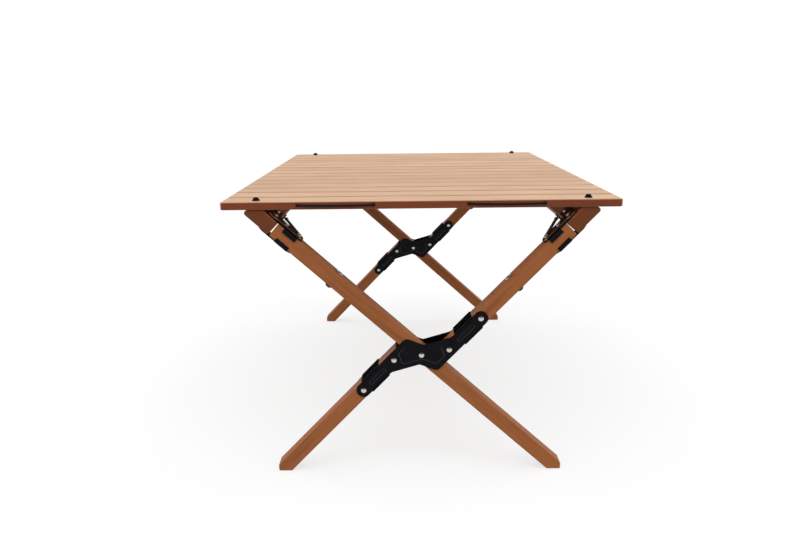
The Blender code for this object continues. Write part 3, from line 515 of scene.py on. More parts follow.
def domed_head(radius, height, sides):
    """Head that stands on the XY plane, with a short straight lip under its dome."""
    lip = 0.3 * MM
    return turned([(0, 0), (radius, 0)] + dome(radius, height, lip), sides)


def gathered(solids):
    """One mesh that holds separate solids."""
    whole = bmesh.new()
    for solid in solids:
        data = bpy.data.meshes.new("solid")
        solid.to_mesh(data)
        solid.free()
        whole.from_mesh(data)
        bpy.data.meshes.remove(data)
    return whole


def placed_each(solids, matrix):
    """Separate solids moved together and gathered into one mesh."""
    return gathered([placed(solid, matrix) for solid in solids])


def new_object(name, mesh):
    """Object that takes over a mesh."""
    data = bpy.data.meshes.new(name)
    mesh.to_mesh(data)
    mesh.free()
    thing = bpy.data.objects.new(name, data)
    bpy.context.scene.collection.objects.link(thing)
    return thing


def cut(mesh, tools):
    """Mesh with the tools cut out of it by an exact Boolean."""
    base = new_object("base", mesh)
    tool = new_object("tool", gathered(tools))
    modifier = base.modifiers.new("cut", "BOOLEAN")
    modifier.operation = "DIFFERENCE"
    modifier.solver = "EXACT"
    modifier.object = tool
    bpy.context.view_layer.update()
    data = bpy.data.meshes.new_from_object(base.evaluated_get(bpy.context.evaluated_depsgraph_get()))
    result = bmesh.new()
    result.from_mesh(data)
    bpy.data.meshes.remove(data)
    for thing in (base, tool):
        bpy.data.objects.remove(thing, do_unlink=True)
    return result


def add_piece(name, mesh, surface, body, replaced=(), smooth=35):
    """Object with a finish, from a mesh in the frame's coordinates; it rides on a body where it has one."""
    piece = new_object(name, mesh)
    data = piece.data
    data.shade_smooth()
    data.set_sharp_from_angle(angle=math.radians(smooth))
    data.materials.append(finish(surface))
    # Flat faces keep flat shading right up to their rounded edges
    modifier = piece.modifiers.new("flat faces", "WEIGHTED_NORMAL")
    modifier.keep_sharp = True
    graph = bpy.context.evaluated_depsgraph_get()
    piece.data = bpy.data.meshes.new_from_object(piece.evaluated_get(graph))
    piece.modifiers.clear()
    bpy.data.meshes.remove(data)
    piece.data.name = name
    if body:
        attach(piece, body)
    if replaced:
        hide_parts(*replaced)
    return piece


class Layout:
    """Places that follow from the sizes."""

    # Gap between a leg's top and the rail's foot, and the drop of that gap under the rail's top
    hinge_gap = 2 * MM
    hinge_drop = 28.5 * MM
    # Rounding of the rail's upper outer edge
    rail_nose = 4.2 * MM
    # Hinge pin above the rail's foot, and the reach of plate and arm down the leg
    pin_setback = 10.5 * MM
    plate_reach = 43 * MM
    # Bolt and ring below the leg's top
    bolt_drop = 118 * MM
    # Middle of the strut's foot plate, from the outer end face inwards
    strut_depth = 84 * MM
    # Bracket rivets, from the centre rivet along the split leg
    outer_rivet = 106.3 * MM
    inner_rivet = 36.2 * MM
    # Lock rivets below the leg's top
    rivet_drops = (9 * MM, 34 * MM)
    # Rounding of sawn corners
    sawn = 2 * MM
    # Air between pieces that seem to touch
    touch = 0.3 * MM

    def __init__(self, context):
        sizes = context.scene.table_sizes
        self.sizes = sizes
        self.half_leg = sizes.leg_width / 2
        self.leg_offset = sizes.leg_width + sizes.leg_gap
        reach = (RAIL_TOP - self.hinge_drop - PIVOT.z) / math.sin(sizes.long_angle)
        self.leg_top = reach - self.hinge_gap / 2
        self.rail_foot = reach + self.hinge_gap / 2
        self.pin = self.rail_foot + self.pin_setback
        self.plate_outer = self.half_leg + self.touch + sizes.plate
        self.arm_low = self.plate_outer + self.touch
        self.arm_top = self.arm_low + sizes.arm
        self.bolt_spot = Matrix.Translation((self.leg_top - self.bolt_drop, MID_DEPTH, 0))
        self.rivets = [self.leg_top - drop for drop in self.rivet_drops]
        self.sides = {
            "left": {"side": -1, "angle": sizes.long_angle, "offset": 0.0},
            "right": {"side": 1, "angle": sizes.split_angle, "offset": -self.leg_offset},
        }

    def along_at(self, height, across, angle, offset):
        """Distance up a leg's axis at which a line parallel to it reaches a height."""
        return (height - PIVOT.z - (across + offset) * math.cos(angle)) / math.sin(angle)

    def rim(self, matrix, points):
        """World (x, z, radius) corners of points given as (along, across, radius) in a leg's frame."""
        corners = []
        for along, across, radius in points:
            world = matrix @ Vector((along, 0, across))
            corners.append((world.x, world.z, radius))
        return corners

    def fitting_corners(self):
        """Name, body and axes of each corner where a leg is hinged to its rail."""
        for name, spec in self.sides.items():
            for place, end in ENDS:
                yield f"{name}_{place}", f"{name}_frame", leg_axes(**spec, end=end)


def leg_axes(side, angle, offset=0.0, end=NEAR):
    """Matrix of a leg's own axes: x up along the leg, y from its outer end face inwards, z square to it."""
    along = Vector((side * math.cos(angle), 0, math.sin(angle)))
    across = Vector((-side * math.sin(angle), 0, math.cos(angle)))
    origin = Vector((PIVOT.x, 0, PIVOT.z)) + across * offset + Vector((0, end * FRAME_END, 0))
    return axes_matrix(along, Vector((0, -end, 0)), across, origin)


class TABLE_OT_slats(bpy.types.Operator):
    """Shape the slats with rounded edges, and give them oiled beech"""

    bl_idname = "table.slats"
    bl_label = "Slats"

    def execute(self, context):
        sizes = context.scene.table_sizes
        stud_place = {SLATS[0]: "near", SLATS[-1]: "far"}
        past = 5 * MM
        stud_hole = 8.8 * MM
        for name in SLATS:
            low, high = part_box(name)
            outline = rounded(oblong(low.x, low.y, high.x, high.y, sizes.slat_corner), math.radians(12))
            bar = prism(outline, low.z, high.z, edge=sizes.slat_round, segments=4)
            tools = []
            for x in cord_places():
                hole = cylinder(sizes.cord_hole, low.y - past, high.y + past, sides=24)
                spot = Matrix.Translation((x, 0, TOP_HEIGHT - sizes.cord_depth))
                tools.append(placed(hole, spot @ SWAP_YZ))
            if name in stud_place:
                for side in ("left", "right"):
                    hole = cylinder(stud_hole, low.z - past, high.z + past, sides=24)
                    tools.append(placed(hole, stud_spot(f"{side}_{stud_place[name]}_stud")))
            add_piece(f"{name}_board", cut(bar, tools), "oiled_beech_top", f"top_{name}", (name,))
        return {"FINISHED"}


def stud_spot(node):
    """Matrix of the upright axis of a stud."""
    low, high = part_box(node)
    return Matrix.Translation(((low.x + high.x) / 2, (low.y + high.y) / 2, 0))


def cord_places():
    """X of the four cord runs, outer to inner on each side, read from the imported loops."""
    places = []
    for loop in ("left_cord", "right_cord"):
        low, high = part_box(loop)
        radius = bpy.context.scene.table_sizes.cord_diameter / 2
        places += [low.x + radius, high.x - radius]
    return places


def tube(path, radius, sides):
    """Round tube along a path of points, with caps and a UV map in centimetres along and round it."""
    mesh = bmesh.new()
    rings = []
    normal = Vector((0, 0, 1))
    travelled = [0.0]
    for before, after in zip(path, path[1:]):
        travelled.append(travelled[-1] + (after - before).length)
    for index, point in enumerate(path):
        ahead = path[min(index + 1, len(path) - 1)] - path[max(index - 1, 0)]
        ahead.normalize()
        normal = (normal - ahead * normal.dot(ahead)).normalized()
        side = ahead.cross(normal)
        ring = []
        for step in range(sides):
            turn = step / sides * math.tau
            ring.append(mesh.verts.new(point + (normal * math.cos(turn) + side * math.sin(turn)) * radius))
        rings.append(ring)
    layer = mesh.loops.layers.uv.new("UVMap")
    around = math.tau * radius
    centimetre = 100
    for row, (first, second) in enumerate(zip(rings, rings[1:])):
        for step in range(sides):
            ahead = (step + 1) % sides
            face = mesh.faces.new((first[step], first[ahead], second[ahead], second[step]))
            for loop, (down, across) in zip(face.loops, ((0, 0), (0, 1), (1, 1), (1, 0))):
                place = (travelled[row + down], (step + across) / sides * around)
                loop[layer].uv = (place[0] * centimetre, place[1] * centimetre)
    mesh.faces.new(rings[0][::-1])
    mesh.faces.new(rings[-1])
    return faced_out(mesh)


class TABLE_OT_cords(bpy.types.Operator):
    """Lay the elastic cord through the slats, in one stretch for each seam, and across the end slats' outer
    faces
    """

    bl_idname = "table.cords"
    bl_label = "Elastic cord"

    def execute(self, context):
        sizes = context.scene.table_sizes
        height = TOP_HEIGHT - sizes.cord_depth
        near = SLAT_LOW.y
        middles = [near + (number + 0.5) * SLAT_PITCH for number in range(len(SLATS))]
        places = cord_places()
        steps = 24
        for number in range(len(SLATS) - 1):
            span = middles[number + 1] - middles[number]
            tubes = []
            for x in places:
                path = [Vector((x, middles[number] + span * step / steps, height))
                        for step in range(steps + 1)]
                tubes.append(tube(path, sizes.cord_diameter / 2, sides=14))
            replaced = ("left_cord", "right_cord") if number == 0 else ()
            name = f"cord_at_seam_{number + 1:02d}"
            piece = add_piece(name, gathered(tubes), "braided_cord", None, replaced)
            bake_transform(piece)
        for slat, middle, outward in ((SLATS[0], middles[0], NEAR), (SLATS[-1], middles[-1], FAR)):
            face = near if outward == NEAR else near + TABLE_LENGTH
            for side, first, last in (("left", *places[:2]), ("right", *places[2:])):
                path = self.run(sizes, first, last, middle, face, outward, height)
                mesh = tube(path, sizes.cord_diameter / 2, sides=16)
                add_piece(f"{side}_cord_across_{slat}", mesh, "braided_cord", f"top_{slat}")
        return {"FINISHED"}

    def run(self, sizes, first, last, middle, face, outward, height):
        """Path of the cord out of one hole, across the slat's outer face and into the next hole."""
        bend = sizes.cord_diameter / 2 + Layout.touch
        mouth_depth = 4 * MM
        mouth = face - outward * mouth_depth
        bend_steps, run_steps = 8, 28
        turns = [step / bend_steps * math.pi / 2 for step in range(bend_steps + 1)]
        path = [(first, middle, height), (first, mouth, height)]
        for turn in turns:
            x = first + bend * (1 - math.cos(turn))
            path.append((x, face + outward * bend * math.sin(turn), height))
        span = last - first - 2 * bend
        for step in range(1, run_steps):
            share = step / run_steps
            sag = sizes.cord_sag * 4 * share * (1 - share)
            path.append((first + bend + span * share, face + outward * bend, height - sag))
        for turn in turns:
            x = last - bend * (1 - math.sin(turn))
            path.append((x, face + outward * bend * math.cos(turn), height))
        path += [(last, mouth, height), (last, middle, height)]
        return [Vector(point) for point in path]


class TABLE_OT_frame_wood(bpy.types.Operator):
    """Shape the rails and legs, and give them stained beech"""

    bl_idname = "table.frame_wood"
    bl_label = "Rails and legs"

    def execute(self, context):
        layout = Layout(context)
        for name, spec in layout.sides.items():
            bar = self.bar(self.rail_corners(layout, spec), -FRAME_END, FRAME_END, 1.2 * MM)
            add_piece(f"{name}_rail_bar", bar, "stained_beech_rail", f"{name}_frame", (f"{name}_rail",))
        half, top, sawn = layout.half_leg, layout.leg_top, layout.sawn
        stub = 20 * MM
        ring_hole, ring_depth, past = 10 * MM, 9.3 * MM, 5 * MM
        # Name, side, offset from the pivot, grain, and low and high end; a leg without a low end has a foot
        legs = (
            ("long_leg", "left", 0.0, "stained_beech_long_leg", None, top),
            ("upper_leg", "right", -layout.leg_offset, "stained_beech_split_leg", stub, top),
            ("lower_leg", "right", layout.leg_offset, "stained_beech_split_leg", None, -stub),
        )
        for place, end in ENDS:
            depths = sorted((end * FRAME_END, end * (FRAME_END - LEG_DEPTH)))
            for name, side, offset, grain, low, high in legs:
                spec = {**layout.sides[side], "offset": offset}
                matrix = leg_axes(**spec, end=end)
                corners = layout.rim(matrix, [(high, -half, sawn), (high, half, sawn)])
                if low is None:
                    corners += self.foot_corners(layout, matrix, spec["angle"], offset)
                else:
                    corners += layout.rim(matrix, [(low, half, sawn), (low, -half, sawn)])
                bar = self.bar(corners, *depths, layout.sizes.wood_round)
                if high == top:
                    hole = cylinder(ring_hole, half - ring_depth, half + past, sides=32)
                    bar = cut(bar, [placed(hole, matrix @ layout.bolt_spot)])
                add_piece(f"{place}_{name}_bar", bar, grain, f"{side}_frame", (f"{place}_{name}",))
        return {"FINISHED"}

    def bar(self, corners, low, high, edge):
        """Bar with its outline in the XZ plane, running from low to high along Y."""
        return placed(prism(rounded(corners), low, high, edge=edge), SWAP_YZ)

    def rail_corners(self, layout, spec):
        """Corners of a rail's end, in line with its leg and cut level at the top."""
        half, sawn = layout.half_leg, layout.sawn
        high, low = (layout.along_at(RAIL_TOP, across, spec["angle"], spec["offset"])
                     for across in (half, -half))
        return layout.rim(leg_axes(**spec), [
            (layout.rail_foot, -half, sawn), (layout.rail_foot, half, sawn),
            (high, half, sawn), (low, -half, layout.rail_nose),
        ])

    def foot_corners(self, layout, matrix, angle, offset):
        """Corners of a foot: the toe stands upright on the outer side, and the sole lies on the ground."""
        half, sawn = layout.half_leg, layout.sawn
        toe_height, toe_round = 11 * MM, 5 * MM
        toe = matrix @ Vector((layout.along_at(toe_height, half, angle, offset), 0, half))
        heel = matrix @ Vector((layout.along_at(0, -half, angle, offset), 0, -half))
        return [(toe.x, toe.z, toe_round), (toe.x, 0, sawn), (heel.x, 0, sawn)]


def point_symmetric(half):
    """(along, across, value) points, then the same points turned half a turn about the centre rivet."""
    return half + [(-along, -across, value) for along, across, value in half]


def pressed_fold(start, stop, inner, outer, face, skin, deep):
    """Flange folded from a plate: its section lies across the fold, and it runs from start to stop.

    inner and outer are the flange's faces, deep its tip, skin the plate's show face and face its back.
    """
    wall = math.copysign(1, outer - inner)
    down = math.copysign(1, deep - skin)
    thickness = abs(outer - inner)
    root = inner - wall * 2 * MM
    back = face + down * 0.05 * MM
    tip = 0.5 * MM
    section = rounded([
        (root, skin, 0), (outer, skin, thickness * 1.5), (outer, deep, tip), (inner, deep, tip),
        (inner, back, 0.4 * MM), (root, back, 0),
    ])
    return placed(prism(section, *sorted((start, stop)), edge=0.3 * MM, segments=2), ALONG_X)


class TABLE_OT_brackets(bpy.types.Operator):
    """Press the crossing brackets out of black steel, with their panels, beads and flanges"""

    bl_idname = "table.brackets"
    bl_label = "Crossing brackets"

    def execute(self, context):
        layout = Layout(context)
        for place, end in ENDS:
            matrix = leg_axes(1, layout.sizes.split_angle, 0, end)
            for side, outside in (("outer", -1), ("inner", 1)):
                name = f"{place}_{side}_bracket"
                mesh = placed_each(self.bracket(layout, outside), matrix @ SWAP_YZ)
                add_piece(f"{name}_pressing", mesh, "black_coated_steel", "right_frame", (name,), smooth=40)
        return {"FINISHED"}

    def bracket(self, layout, outside):
        """Solids of one bracket, in along, across and depth."""
        sizes = layout.sizes
        face = -layout.touch if outside < 0 else LEG_DEPTH + layout.touch
        skin = face + outside * sizes.bracket
        edge = layout.leg_offset - layout.half_leg
        rim = layout.leg_offset + layout.half_leg
        reach = layout.outer_rivet + layout.half_leg
        outline = rounded(point_symmetric([
            (-reach, rim, layout.half_leg), (-reach, edge, layout.half_leg),
            (-54 * MM, edge, 10 * MM), (-edge, -9 * MM, 8 * MM), (-2 * MM, -rim, 9 * MM),
        ]), math.radians(8))
        solids = [prism(outline, *sorted((face, skin)), edge=0.6 * MM)]
        core = skin - outside * sizes.bracket / 2
        crest = skin + outside * sizes.bead
        panel = rounded(point_symmetric([
            (-32.5 * MM, 11 * MM, 4 * MM), (-4 * MM, -6.5 * MM, 5 * MM),
            (5.5 * MM, -28 * MM, 4 * MM), (24 * MM, -28 * MM, 5 * MM),
        ]))
        solids.append(embossed(panel, core, skin, crest, 1.3 * MM))
        bead_start, bead_stop, bead_half = 56 * MM, 92 * MM, 3.2 * MM
        fold_start, fold_stop, fold_depth = 60 * MM, 98 * MM, 11 * MM
        deep = face - outside * fold_depth
        for sign in (-1, 1):
            middle = -sign * layout.leg_offset
            low, high = middle - bead_half, middle + bead_half
            bead = rounded(oblong(sign * bead_start, low, sign * bead_stop, high, 3 * MM))
            solids.append(embossed(bead, core, skin, crest, 1.2 * MM))
            for wall in (-1, 1):
                inner = middle + wall * (layout.half_leg + layout.touch)
                outer = inner + wall * sizes.bracket
                fold = (sign * fold_start, sign * fold_stop, inner, outer, face, skin, deep)
                solids.append(pressed_fold(*fold))
        return solids


def rivet_profile(head, height, low, high, tail_height):
    """Rivet with a domed head over high and a peened, hollow-centred tail under low."""
    shank = 5 * MM
    radius = head / 2
    lip = 0.25 * MM
    tail = 0.8 * radius
    foot = low - tail_height
    hollow = low - tail_height * 0.45
    soft = 0.4 * MM
    profile = soft_profile([
        (0, hollow, 0), (tail * 0.45, hollow, soft), (tail * 0.7, foot, soft),
        (tail, low - tail_height * 0.6, soft), (tail, low, 0),
        (shank / 2, low, 0), (shank / 2, high, 0), (radius, high, 0),
    ])
    return profile + dome(radius, height - lip, high + lip)


class TABLE_OT_rivets(bpy.types.Operator):
    """Set the nickel rivets of the crossing brackets"""

    bl_idname = "table.rivets"
    bl_label = "Bracket rivets"

    def execute(self, context):
        layout = Layout(context)
        sizes = layout.sizes
        lower = [(-layout.outer_rivet, layout.leg_offset, 0), (-layout.inner_rivet, layout.leg_offset, 0)]
        rivets = {"centre_rivet": (0, 0, sizes.bead)}
        for number, spot in enumerate(point_symmetric(lower), 1):
            rivets[f"side_rivet_{number}"] = spot
        for place, end in ENDS:
            matrix = leg_axes(1, sizes.split_angle, 0, end)
            for name, (along, across, raised) in rivets.items():
                skin = layout.touch + sizes.bracket + raised
                profile = rivet_profile(head=9.6 * MM, height=3.2 * MM, low=-LEG_DEPTH - skin, high=skin,
                                        tail_height=2.2 * MM)
                spot = Matrix.Translation((along, 0, across)) @ Matrix.Rotation(math.pi / 2, 4, "X")
                mesh = placed(turned(profile, sizes.round_sides), matrix @ spot)
                node = f"{place}_{name}"
                add_piece(f"{node}_head", mesh, "nickel_plated_steel", "right_frame", (node,))
        return {"FINISHED"}


class TABLE_OT_hinges(bpy.types.Operator):
    """Fold the hinge plates, and set their pins and rivets"""

    bl_idname = "table.hinges"
    bl_label = "Hinges"

    def execute(self, context):
        layout = Layout(context)
        sides = layout.sizes.round_sides
        for corner, body, matrix in layout.fitting_corners():
            plates = placed_each(self.plate(layout, -1) + self.plate(layout, 1), matrix)
            add_piece(f"{corner}_hinge_plates", plates, "black_coated_steel", body, (f"{corner}_hinge",),
                      smooth=40)
            spot = matrix @ Matrix.Translation((layout.pin, MID_DEPTH, 0))
            pin = placed(turned(self.pin_profile(layout), sides), spot)
            add_piece(f"{corner}_hinge_pin", pin, "bronze_coated_steel", body)
            profile = rivet_profile(head=8.5 * MM, height=1.9 * MM, low=-layout.plate_outer,
                                    high=layout.arm_top, tail_height=1.4 * MM)
            rivets = [placed(turned(profile, sides), Matrix.Translation((along, MID_DEPTH, 0)))
                      for along in layout.rivets]
            add_piece(f"{corner}_lock_rivets", placed_each(rivets, matrix), "nickel_plated_steel", body)
        return {"FINISHED"}

    def plate(self, layout, sign):
        """Hinge plate on one broad side of the leg, with its folded tab, in along, depth and across."""
        thickness = layout.sizes.plate
        start = layout.leg_top - layout.plate_reach
        stop = layout.rail_foot + 19 * MM
        round_end = 12 * MM
        low, high = MID_DEPTH - round_end, MID_DEPTH + round_end
        tab_top = layout.leg_top - 11.5 * MM
        tab_low = tab_top - 24 * MM
        near = sign * (layout.half_leg + layout.touch)
        far = near + sign * thickness
        outline = rounded(oblong(start, low, stop, high, round_end))
        plate = prism(outline, *sorted((near, far)), edge=0.4 * MM)
        front = -layout.touch
        inner = sign * (layout.half_leg - 5.6 * MM)
        root = low + 2 * MM
        section = rounded([
            (root, far, 0), (front - thickness, far, thickness * 1.4), (front - thickness, inner, 0.5 * MM),
            (front, inner, 0.5 * MM), (front, near, 0.4 * MM), (root, near, 0),
        ])
        tab = placed(prism(section, tab_low, tab_top, edge=0.4 * MM, segments=2), ALONG_X)
        return [plate, tab]

    def pin_profile(self, layout):
        """Hinge pin with a stepped, rounded head on the inner side and a flat head on the outer side."""
        low, high = -layout.plate_outer, layout.arm_top
        shank = 3 * MM
        return soft_profile([
            (0, low - 1.8 * MM, 0), (4.6 * MM, low - 1.8 * MM, 0.8 * MM), (4.6 * MM, low, 0),
            (shank, low, 0), (shank, high, 0), (5.5 * MM, high, 0), (5.5 * MM, high + 1.2 * MM, 0.5 * MM),
            (4.4 * MM, high + 3.4 * MM, 1.2 * MM), (0, high + 3.5 * MM, 0),
        ])


class TABLE_OT_locks(bpy.types.Operator):
    """Shape the folding locks: arm, head, rail wing, strut and foot plate"""

    bl_idname = "table.locks"
    bl_label = "Folding locks"

    def execute(self, context):
        layout = Layout(context)
        for corner, body, matrix in layout.fitting_corners():
            lock = placed_each(self.arm(layout) + self.strut(layout), matrix)
            add_piece(f"{corner}_lock_pressing", lock, "bronze_coated_steel", body, (f"{corner}_lock",),
                      smooth=40)
            screw = placed(self.screw(layout), matrix)
            add_piece(f"{corner}_wing_screws", screw, "nickel_plated_steel", body)
        return {"FINISHED"}

    def arm(self, layout):
        """Arm, head and wing as one plate, with a spacer under the wing, in along, depth and across."""
        pin = layout.pin
        start = layout.leg_top - layout.plate_reach
        half = 9.5 * MM
        low, high = MID_DEPTH - half, MID_DEPTH + half
        wing_low = layout.rail_foot + 2 * MM
        wing_high = wing_low + 19 * MM
        last = MID_DEPTH + 45 * MM
        outline = rounded([
            (start, low, half), (pin - 8 * MM, low, 3 * MM), (pin, MID_DEPTH - 12 * MM, 8 * MM),
            (pin + 11.8 * MM, MID_DEPTH - 8 * MM, 9 * MM), (wing_high, MID_DEPTH + 10 * MM, 6 * MM),
            (wing_high, last, 4 * MM), (wing_low, last, 4 * MM), (wing_low, high + 3 * MM, 7 * MM),
            (start, high, half),
        ])
        plate = prism(outline, layout.arm_low, layout.arm_top, edge=0.5 * MM)
        pad_start = MID_DEPTH + 12.6 * MM
        pad_outline = rounded([
            (wing_low, pad_start, 0.5 * MM), (wing_high, pad_start, 0.5 * MM),
            (wing_high, last, 4 * MM), (wing_low, last, 4 * MM),
        ])
        pad = prism(pad_outline, layout.half_leg + layout.touch, layout.arm_low + 0.5 * MM, edge=0.3 * MM,
                    segments=2)
        collar = cylinder(15 * MM, layout.arm_top - 0.5 * MM, layout.arm_top + 0.6 * MM, sides=36)
        return [plate, pad, placed(collar, Matrix.Translation((pin, MID_DEPTH, 0)))]

    def strut(self, layout):
        """Flat strut from the arm's lower rivet to a plate under the rail, riveted there."""
        width, thickness = 8 * MM, 2.4 * MM
        half = width / 2
        first = Vector((layout.rivets[1], MID_DEPTH + 4 * MM, layout.arm_top + 0.1 * MM))
        last = Vector((layout.rail_foot - 0.6 * MM - half, layout.strut_depth, layout.half_leg - half))
        along = (last - first).normalized()
        normal = along.cross(Vector((1, -0.5, 0))).normalized()
        matrix = axes_matrix(along, normal.cross(along), normal, first)
        reach = (last - first).length
        square = 1 * MM
        outline = rounded([
            (-half, -half, half), (reach, -half, square), (reach, half, square), (-half, half, half)])
        bar = placed(prism(outline, -thickness / 2, thickness / 2, edge=0.5 * MM), matrix)
        heads = []
        for turn in (0, math.pi):
            spot = Matrix.Translation((reach - half, 0, 0)) @ Matrix.Rotation(turn, 4, "X")
            raised = matrix @ spot @ Matrix.Translation((0, 0, 0.45 * thickness))
            heads.append(placed(domed_head(radius=3 * MM, height=1.6 * MM, sides=28), raised))
        reach_y = 11 * MM
        low, high = layout.strut_depth - reach_y, layout.strut_depth + reach_y
        side_top = layout.half_leg - layout.touch
        foot_outline = rounded(oblong(low, -side_top / 2, high, side_top, 3 * MM))
        foot_top = layout.rail_foot - layout.touch
        foot = prism(foot_outline, foot_top - thickness, foot_top, edge=0.4 * MM, segments=2)
        return [bar, placed(foot, ALONG_X), *heads]

    def screw(self, layout):
        """Pan-head screw with a cross recess that holds the wing to the rail."""
        head = domed_head(radius=3.6 * MM, height=2 * MM, sides=32)
        reach, half = 2 * MM, 0.4 * MM
        first_turn = 0.5
        for turn in (first_turn, first_turn + math.pi / 2):
            slot = prism(oblong(-reach, -half, reach, half), 1.1 * MM, 4 * MM)
            head = cut(head, [placed(slot, Matrix.Rotation(turn, 4, "Z"))])
        spot = (layout.rail_foot + 11 * MM, MID_DEPTH + 32 * MM, layout.arm_top)
        return placed(head, Matrix.Translation(spot))


class TABLE_OT_bolts(bpy.types.Operator):
    """Fit the rubber-capped bolts and steel rings in the legs, and the rubber studs of the top"""

    bl_idname = "table.bolts"
    bl_label = "Bolts, rings and studs"

    def execute(self, context):
        layout = Layout(context)
        sides = layout.sizes.round_sides
        for corner, body, matrix in layout.fitting_corners():
            spot = matrix @ layout.bolt_spot
            bolt = placed(turned(self.bolt_profile(layout), sides), spot)
            add_piece(f"{corner}_bolt_cap", bolt, "moulded_rubber", body, (f"{corner}_bolt",))
            ring = placed(turned(self.ring_profile(layout), sides, closed=True), spot)
            add_piece(f"{corner}_ring_insert", ring, "nickel_plated_steel", body, (f"{corner}_ring",))
            node = f"{corner}_stud"
            stud = placed(turned(self.stud_profile(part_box(node)[0].z), sides), stud_spot(node))
            add_piece(f"{corner}_button", stud, "moulded_rubber", body, (node,))
        return {"FINISHED"}

    def bolt_profile(self, layout):
        """Dome of rubber on the leg's outer face, with its shank in the leg."""
        base = -layout.half_leg - layout.touch
        tip = layout.half_leg - 4.5 * MM
        radius, shank = 7.5 * MM, 3 * MM
        return soft_profile([
            (0, base - 5.2 * MM, 0), (3.4 * MM, base - 5.0 * MM, 2 * MM),
            (6.4 * MM, base - 2.2 * MM, 3 * MM), (radius, base - 0.4 * MM, 0.4 * MM),
            (radius, base, 0.1 * MM), (shank, base, 0), (shank, tip, 0.5 * MM), (0, tip, 0),
        ], math.radians(10))

    def ring_profile(self, layout):
        """Section of the flanged ring in the leg's inner face."""
        bore, wall, flange = 3.8 * MM, 4.7 * MM, 6.3 * MM
        seat = layout.half_leg + 0.05 * MM
        deep = layout.half_leg - 9 * MM
        rim = seat + 1.3 * MM
        return rounded([
            (bore, deep, 0), (wall, deep, 0), (wall, seat, 0), (flange, seat, 0),
            (flange, rim, 1 * MM), (bore, rim, 0.6 * MM),
        ], math.radians(15))

    def stud_profile(self, low):
        """Neck through the slat, with a wide flange and a domed crown on top of it."""
        seat = TOP_HEIGHT + 0.05 * MM
        neck, flange = 4 * MM, 6 * MM
        return soft_profile([
            (0, low, 0), (neck, low, 0.5 * MM), (neck, seat, 0), (flange, seat, 0.3 * MM),
            (flange, seat + 1.0 * MM, 0.7 * MM), (4.6 * MM, seat + 2.3 * MM, 1.6 * MM),
            (3.2 * MM, seat + 4.9 * MM, 1.8 * MM), (0, seat + 5.1 * MM, 0),
        ], math.radians(10))


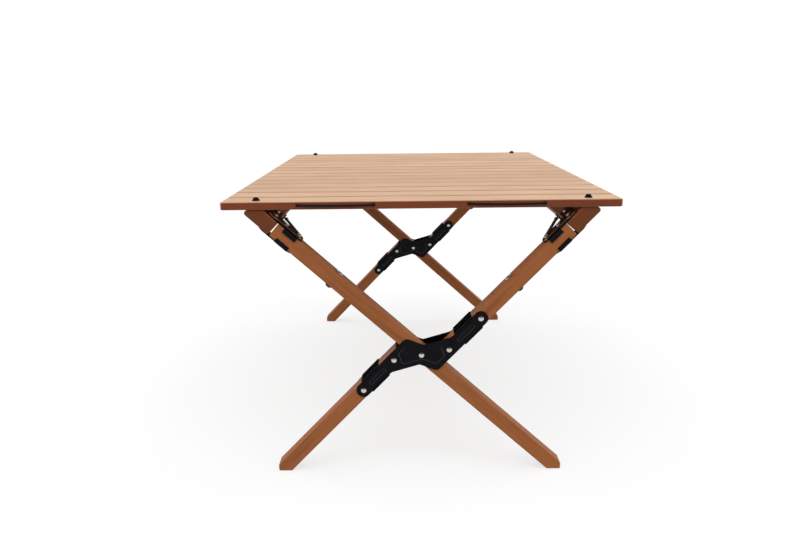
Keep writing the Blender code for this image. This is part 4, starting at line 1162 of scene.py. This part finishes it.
class TABLE_OT_stage(bpy.types.Operator):
    """Set up the pale floor, the studio light and the camera"""

    bl_idname = "table.stage"
    bl_label = "Stage"

    # Soft fill from all round, and the brightest that gloss meets above the table
    fill_level = 0.16
    gloss_level = 0.14
    # Floor: how far it reaches in metres, its grey, and the white of its own
    floor_reach = 60
    floor_grey = 0.3
    floor_lift = 0.7

    def execute(self, context):
        scene = context.scene
        scene.view_settings.view_transform = "Standard"
        self.camera(scene)
        self.world(scene)
        self.floor(scene)
        self.lamps(scene)
        return {"FINISHED"}

    def camera(self, scene):
        """Camera at the height and tilt from which the table was photographed."""
        lens = bpy.data.cameras.new("camera")
        lens.lens = 35.14
        lens.sensor_width = 36
        lens.shift_y = 0.0745
        lens.clip_end = 100
        camera = bpy.data.objects.new("camera", lens)
        scene.collection.objects.link(camera)
        place = Matrix.Translation((-0.0281, -1.6094, 0.6006))
        yaw = Matrix.Rotation(math.radians(0.30), 4, "Z")
        tilt = Matrix.Rotation(math.radians(90 - 16.88), 4, "X")
        roll = Matrix.Rotation(math.radians(-0.61), 4, "Z")
        camera.matrix_world = place @ yaw @ tilt @ roll
        scene.camera = camera

    def seen(self, tree):
        """What is 1 for rays that see the backdrop straight or through glass, and what is 1 for gloss."""
        path = add_node(tree, "ShaderNodeLightPath").outputs
        straight = add_node(tree, "ShaderNodeMath", {
            0: path["Is Camera Ray"], 1: path["Is Transmission Ray"]}, operation="MAXIMUM")
        return straight, path["Is Glossy Ray"]

    def world(self, scene):
        """White backdrop where it is seen, with a grey ceiling for gloss and soft fill for the rest."""
        world = bpy.data.worlds.new("studio")
        scene.world = world
        world.use_nodes = True
        tree = world.node_tree
        straight, gloss = self.seen(tree)
        coords = add_node(tree, "ShaderNodeTexCoord").outputs
        parts = add_node(tree, "ShaderNodeSeparateXYZ", {"Vector": coords["Generated"]})
        ceiling = add_node(tree, "ShaderNodeMapRange", {
            "Value": parts.outputs["Z"], "From Min": 0.12, "From Max": 0.42,
            "To Min": 1.0, "To Max": self.gloss_level}, interpolation_type="SMOOTHSTEP")
        glossy = add_node(tree, "ShaderNodeMix", {"Factor": gloss, "A": self.fill_level, "B": ceiling})
        level = add_node(tree, "ShaderNodeMix", {"Factor": straight, "A": glossy, "B": 1.0})
        plug(tree, tree.nodes["Background"], {"Color": opaque((1, 1, 1)), "Strength": level})

    def floor(self, scene):
        """Matt floor that looks white and keeps the table's shadow."""
        mesh = bmesh.new()
        bmesh.ops.create_grid(mesh, x_segments=1, y_segments=1, size=self.floor_reach)
        floor = new_object("floor", mesh)
        floor.location = (0, 0, -0.5 * MM)
        material, tree, shader = new_material("matt_grey_floor")
        straight, gloss = self.seen(tree)
        either = add_node(tree, "ShaderNodeMath", {0: straight, 1: gloss}, operation="MAXIMUM")
        lift = add_node(tree, "ShaderNodeMath", {0: either, 1: self.floor_lift}, operation="MULTIPLY")
        plug(tree, shader, {
            "Base Color": opaque((self.floor_grey,) * 3), "Roughness": 0.9, "Specular IOR Level": 0.0,
            "Emission Color": opaque((1, 1, 1)), "Emission Strength": lift})
        floor.data.materials.append(material)

    def lamps(self, scene):
        """Very broad light from above, and weaker from the diagonals. Gloss mirrors the backdrop alone."""
        # Name, lean from straight above, bearing, spread in degrees, and share of a plain light level
        lamps = (
            ("overhead", 8, 0, 75, 0.48),
            ("front_left", 60, -42, 50, 0.27),
            ("front_right", 60, 42, 50, 0.27),
            ("back_left", 50, -120, 50, 0.16),
            ("back_right", 50, 120, 50, 0.16),
        )
        for name, lean, bearing, spread, share in lamps:
            lamp = bpy.data.lights.new(name, "SUN")
            lamp.energy = math.pi * share
            lamp.angle = math.radians(spread)
            thing = bpy.data.objects.new(name, lamp)
            thing.rotation_euler = (math.radians(lean), 0, math.radians(bearing))
            thing.visible_glossy = False
            scene.collection.objects.link(thing)


OPERATORS = (
    TABLE_OT_slats, TABLE_OT_cords, TABLE_OT_frame_wood, TABLE_OT_brackets, TABLE_OT_rivets,
    TABLE_OT_hinges, TABLE_OT_locks, TABLE_OT_bolts, TABLE_OT_stage,
)


class TABLE_PT_panel(bpy.types.Panel):
    """Sidebar panel with the table's steps, sizes and colours"""

    bl_idname = "TABLE_PT_panel"
    bl_label = "Camping table"
    bl_space_type = "VIEW_3D"
    bl_region_type = "UI"
    bl_category = "Camping table"

    def draw(self, context):
        for operator in OPERATORS:
            self.layout.operator(operator.bl_idname)
        for group in (context.scene.table_sizes, context.scene.table_colours):
            box = self.layout.box()
            for name in group.__annotations__:
                box.prop(group, name)


CLASSES = (TableSizes, TableColours, *OPERATORS, TABLE_PT_panel)


def register():
    for item in CLASSES:
        bpy.utils.register_class(item)
    bpy.types.Scene.table_sizes = PointerProperty(type=TableSizes)
    bpy.types.Scene.table_colours = PointerProperty(type=TableColours)


def unregister():
    del bpy.types.Scene.table_colours
    del bpy.types.Scene.table_sizes
    for item in reversed(CLASSES):
        bpy.utils.unregister_class(item)


def main():
    register()
    bpy.ops.table.slats()
    bpy.ops.table.cords()
    bpy.ops.table.frame_wood()
    bpy.ops.table.brackets()
    bpy.ops.table.rivets()
    bpy.ops.table.hinges()
    bpy.ops.table.locks()
    bpy.ops.table.bolts()
    bpy.ops.table.stage()


if __name__ == "__main__":
    main()
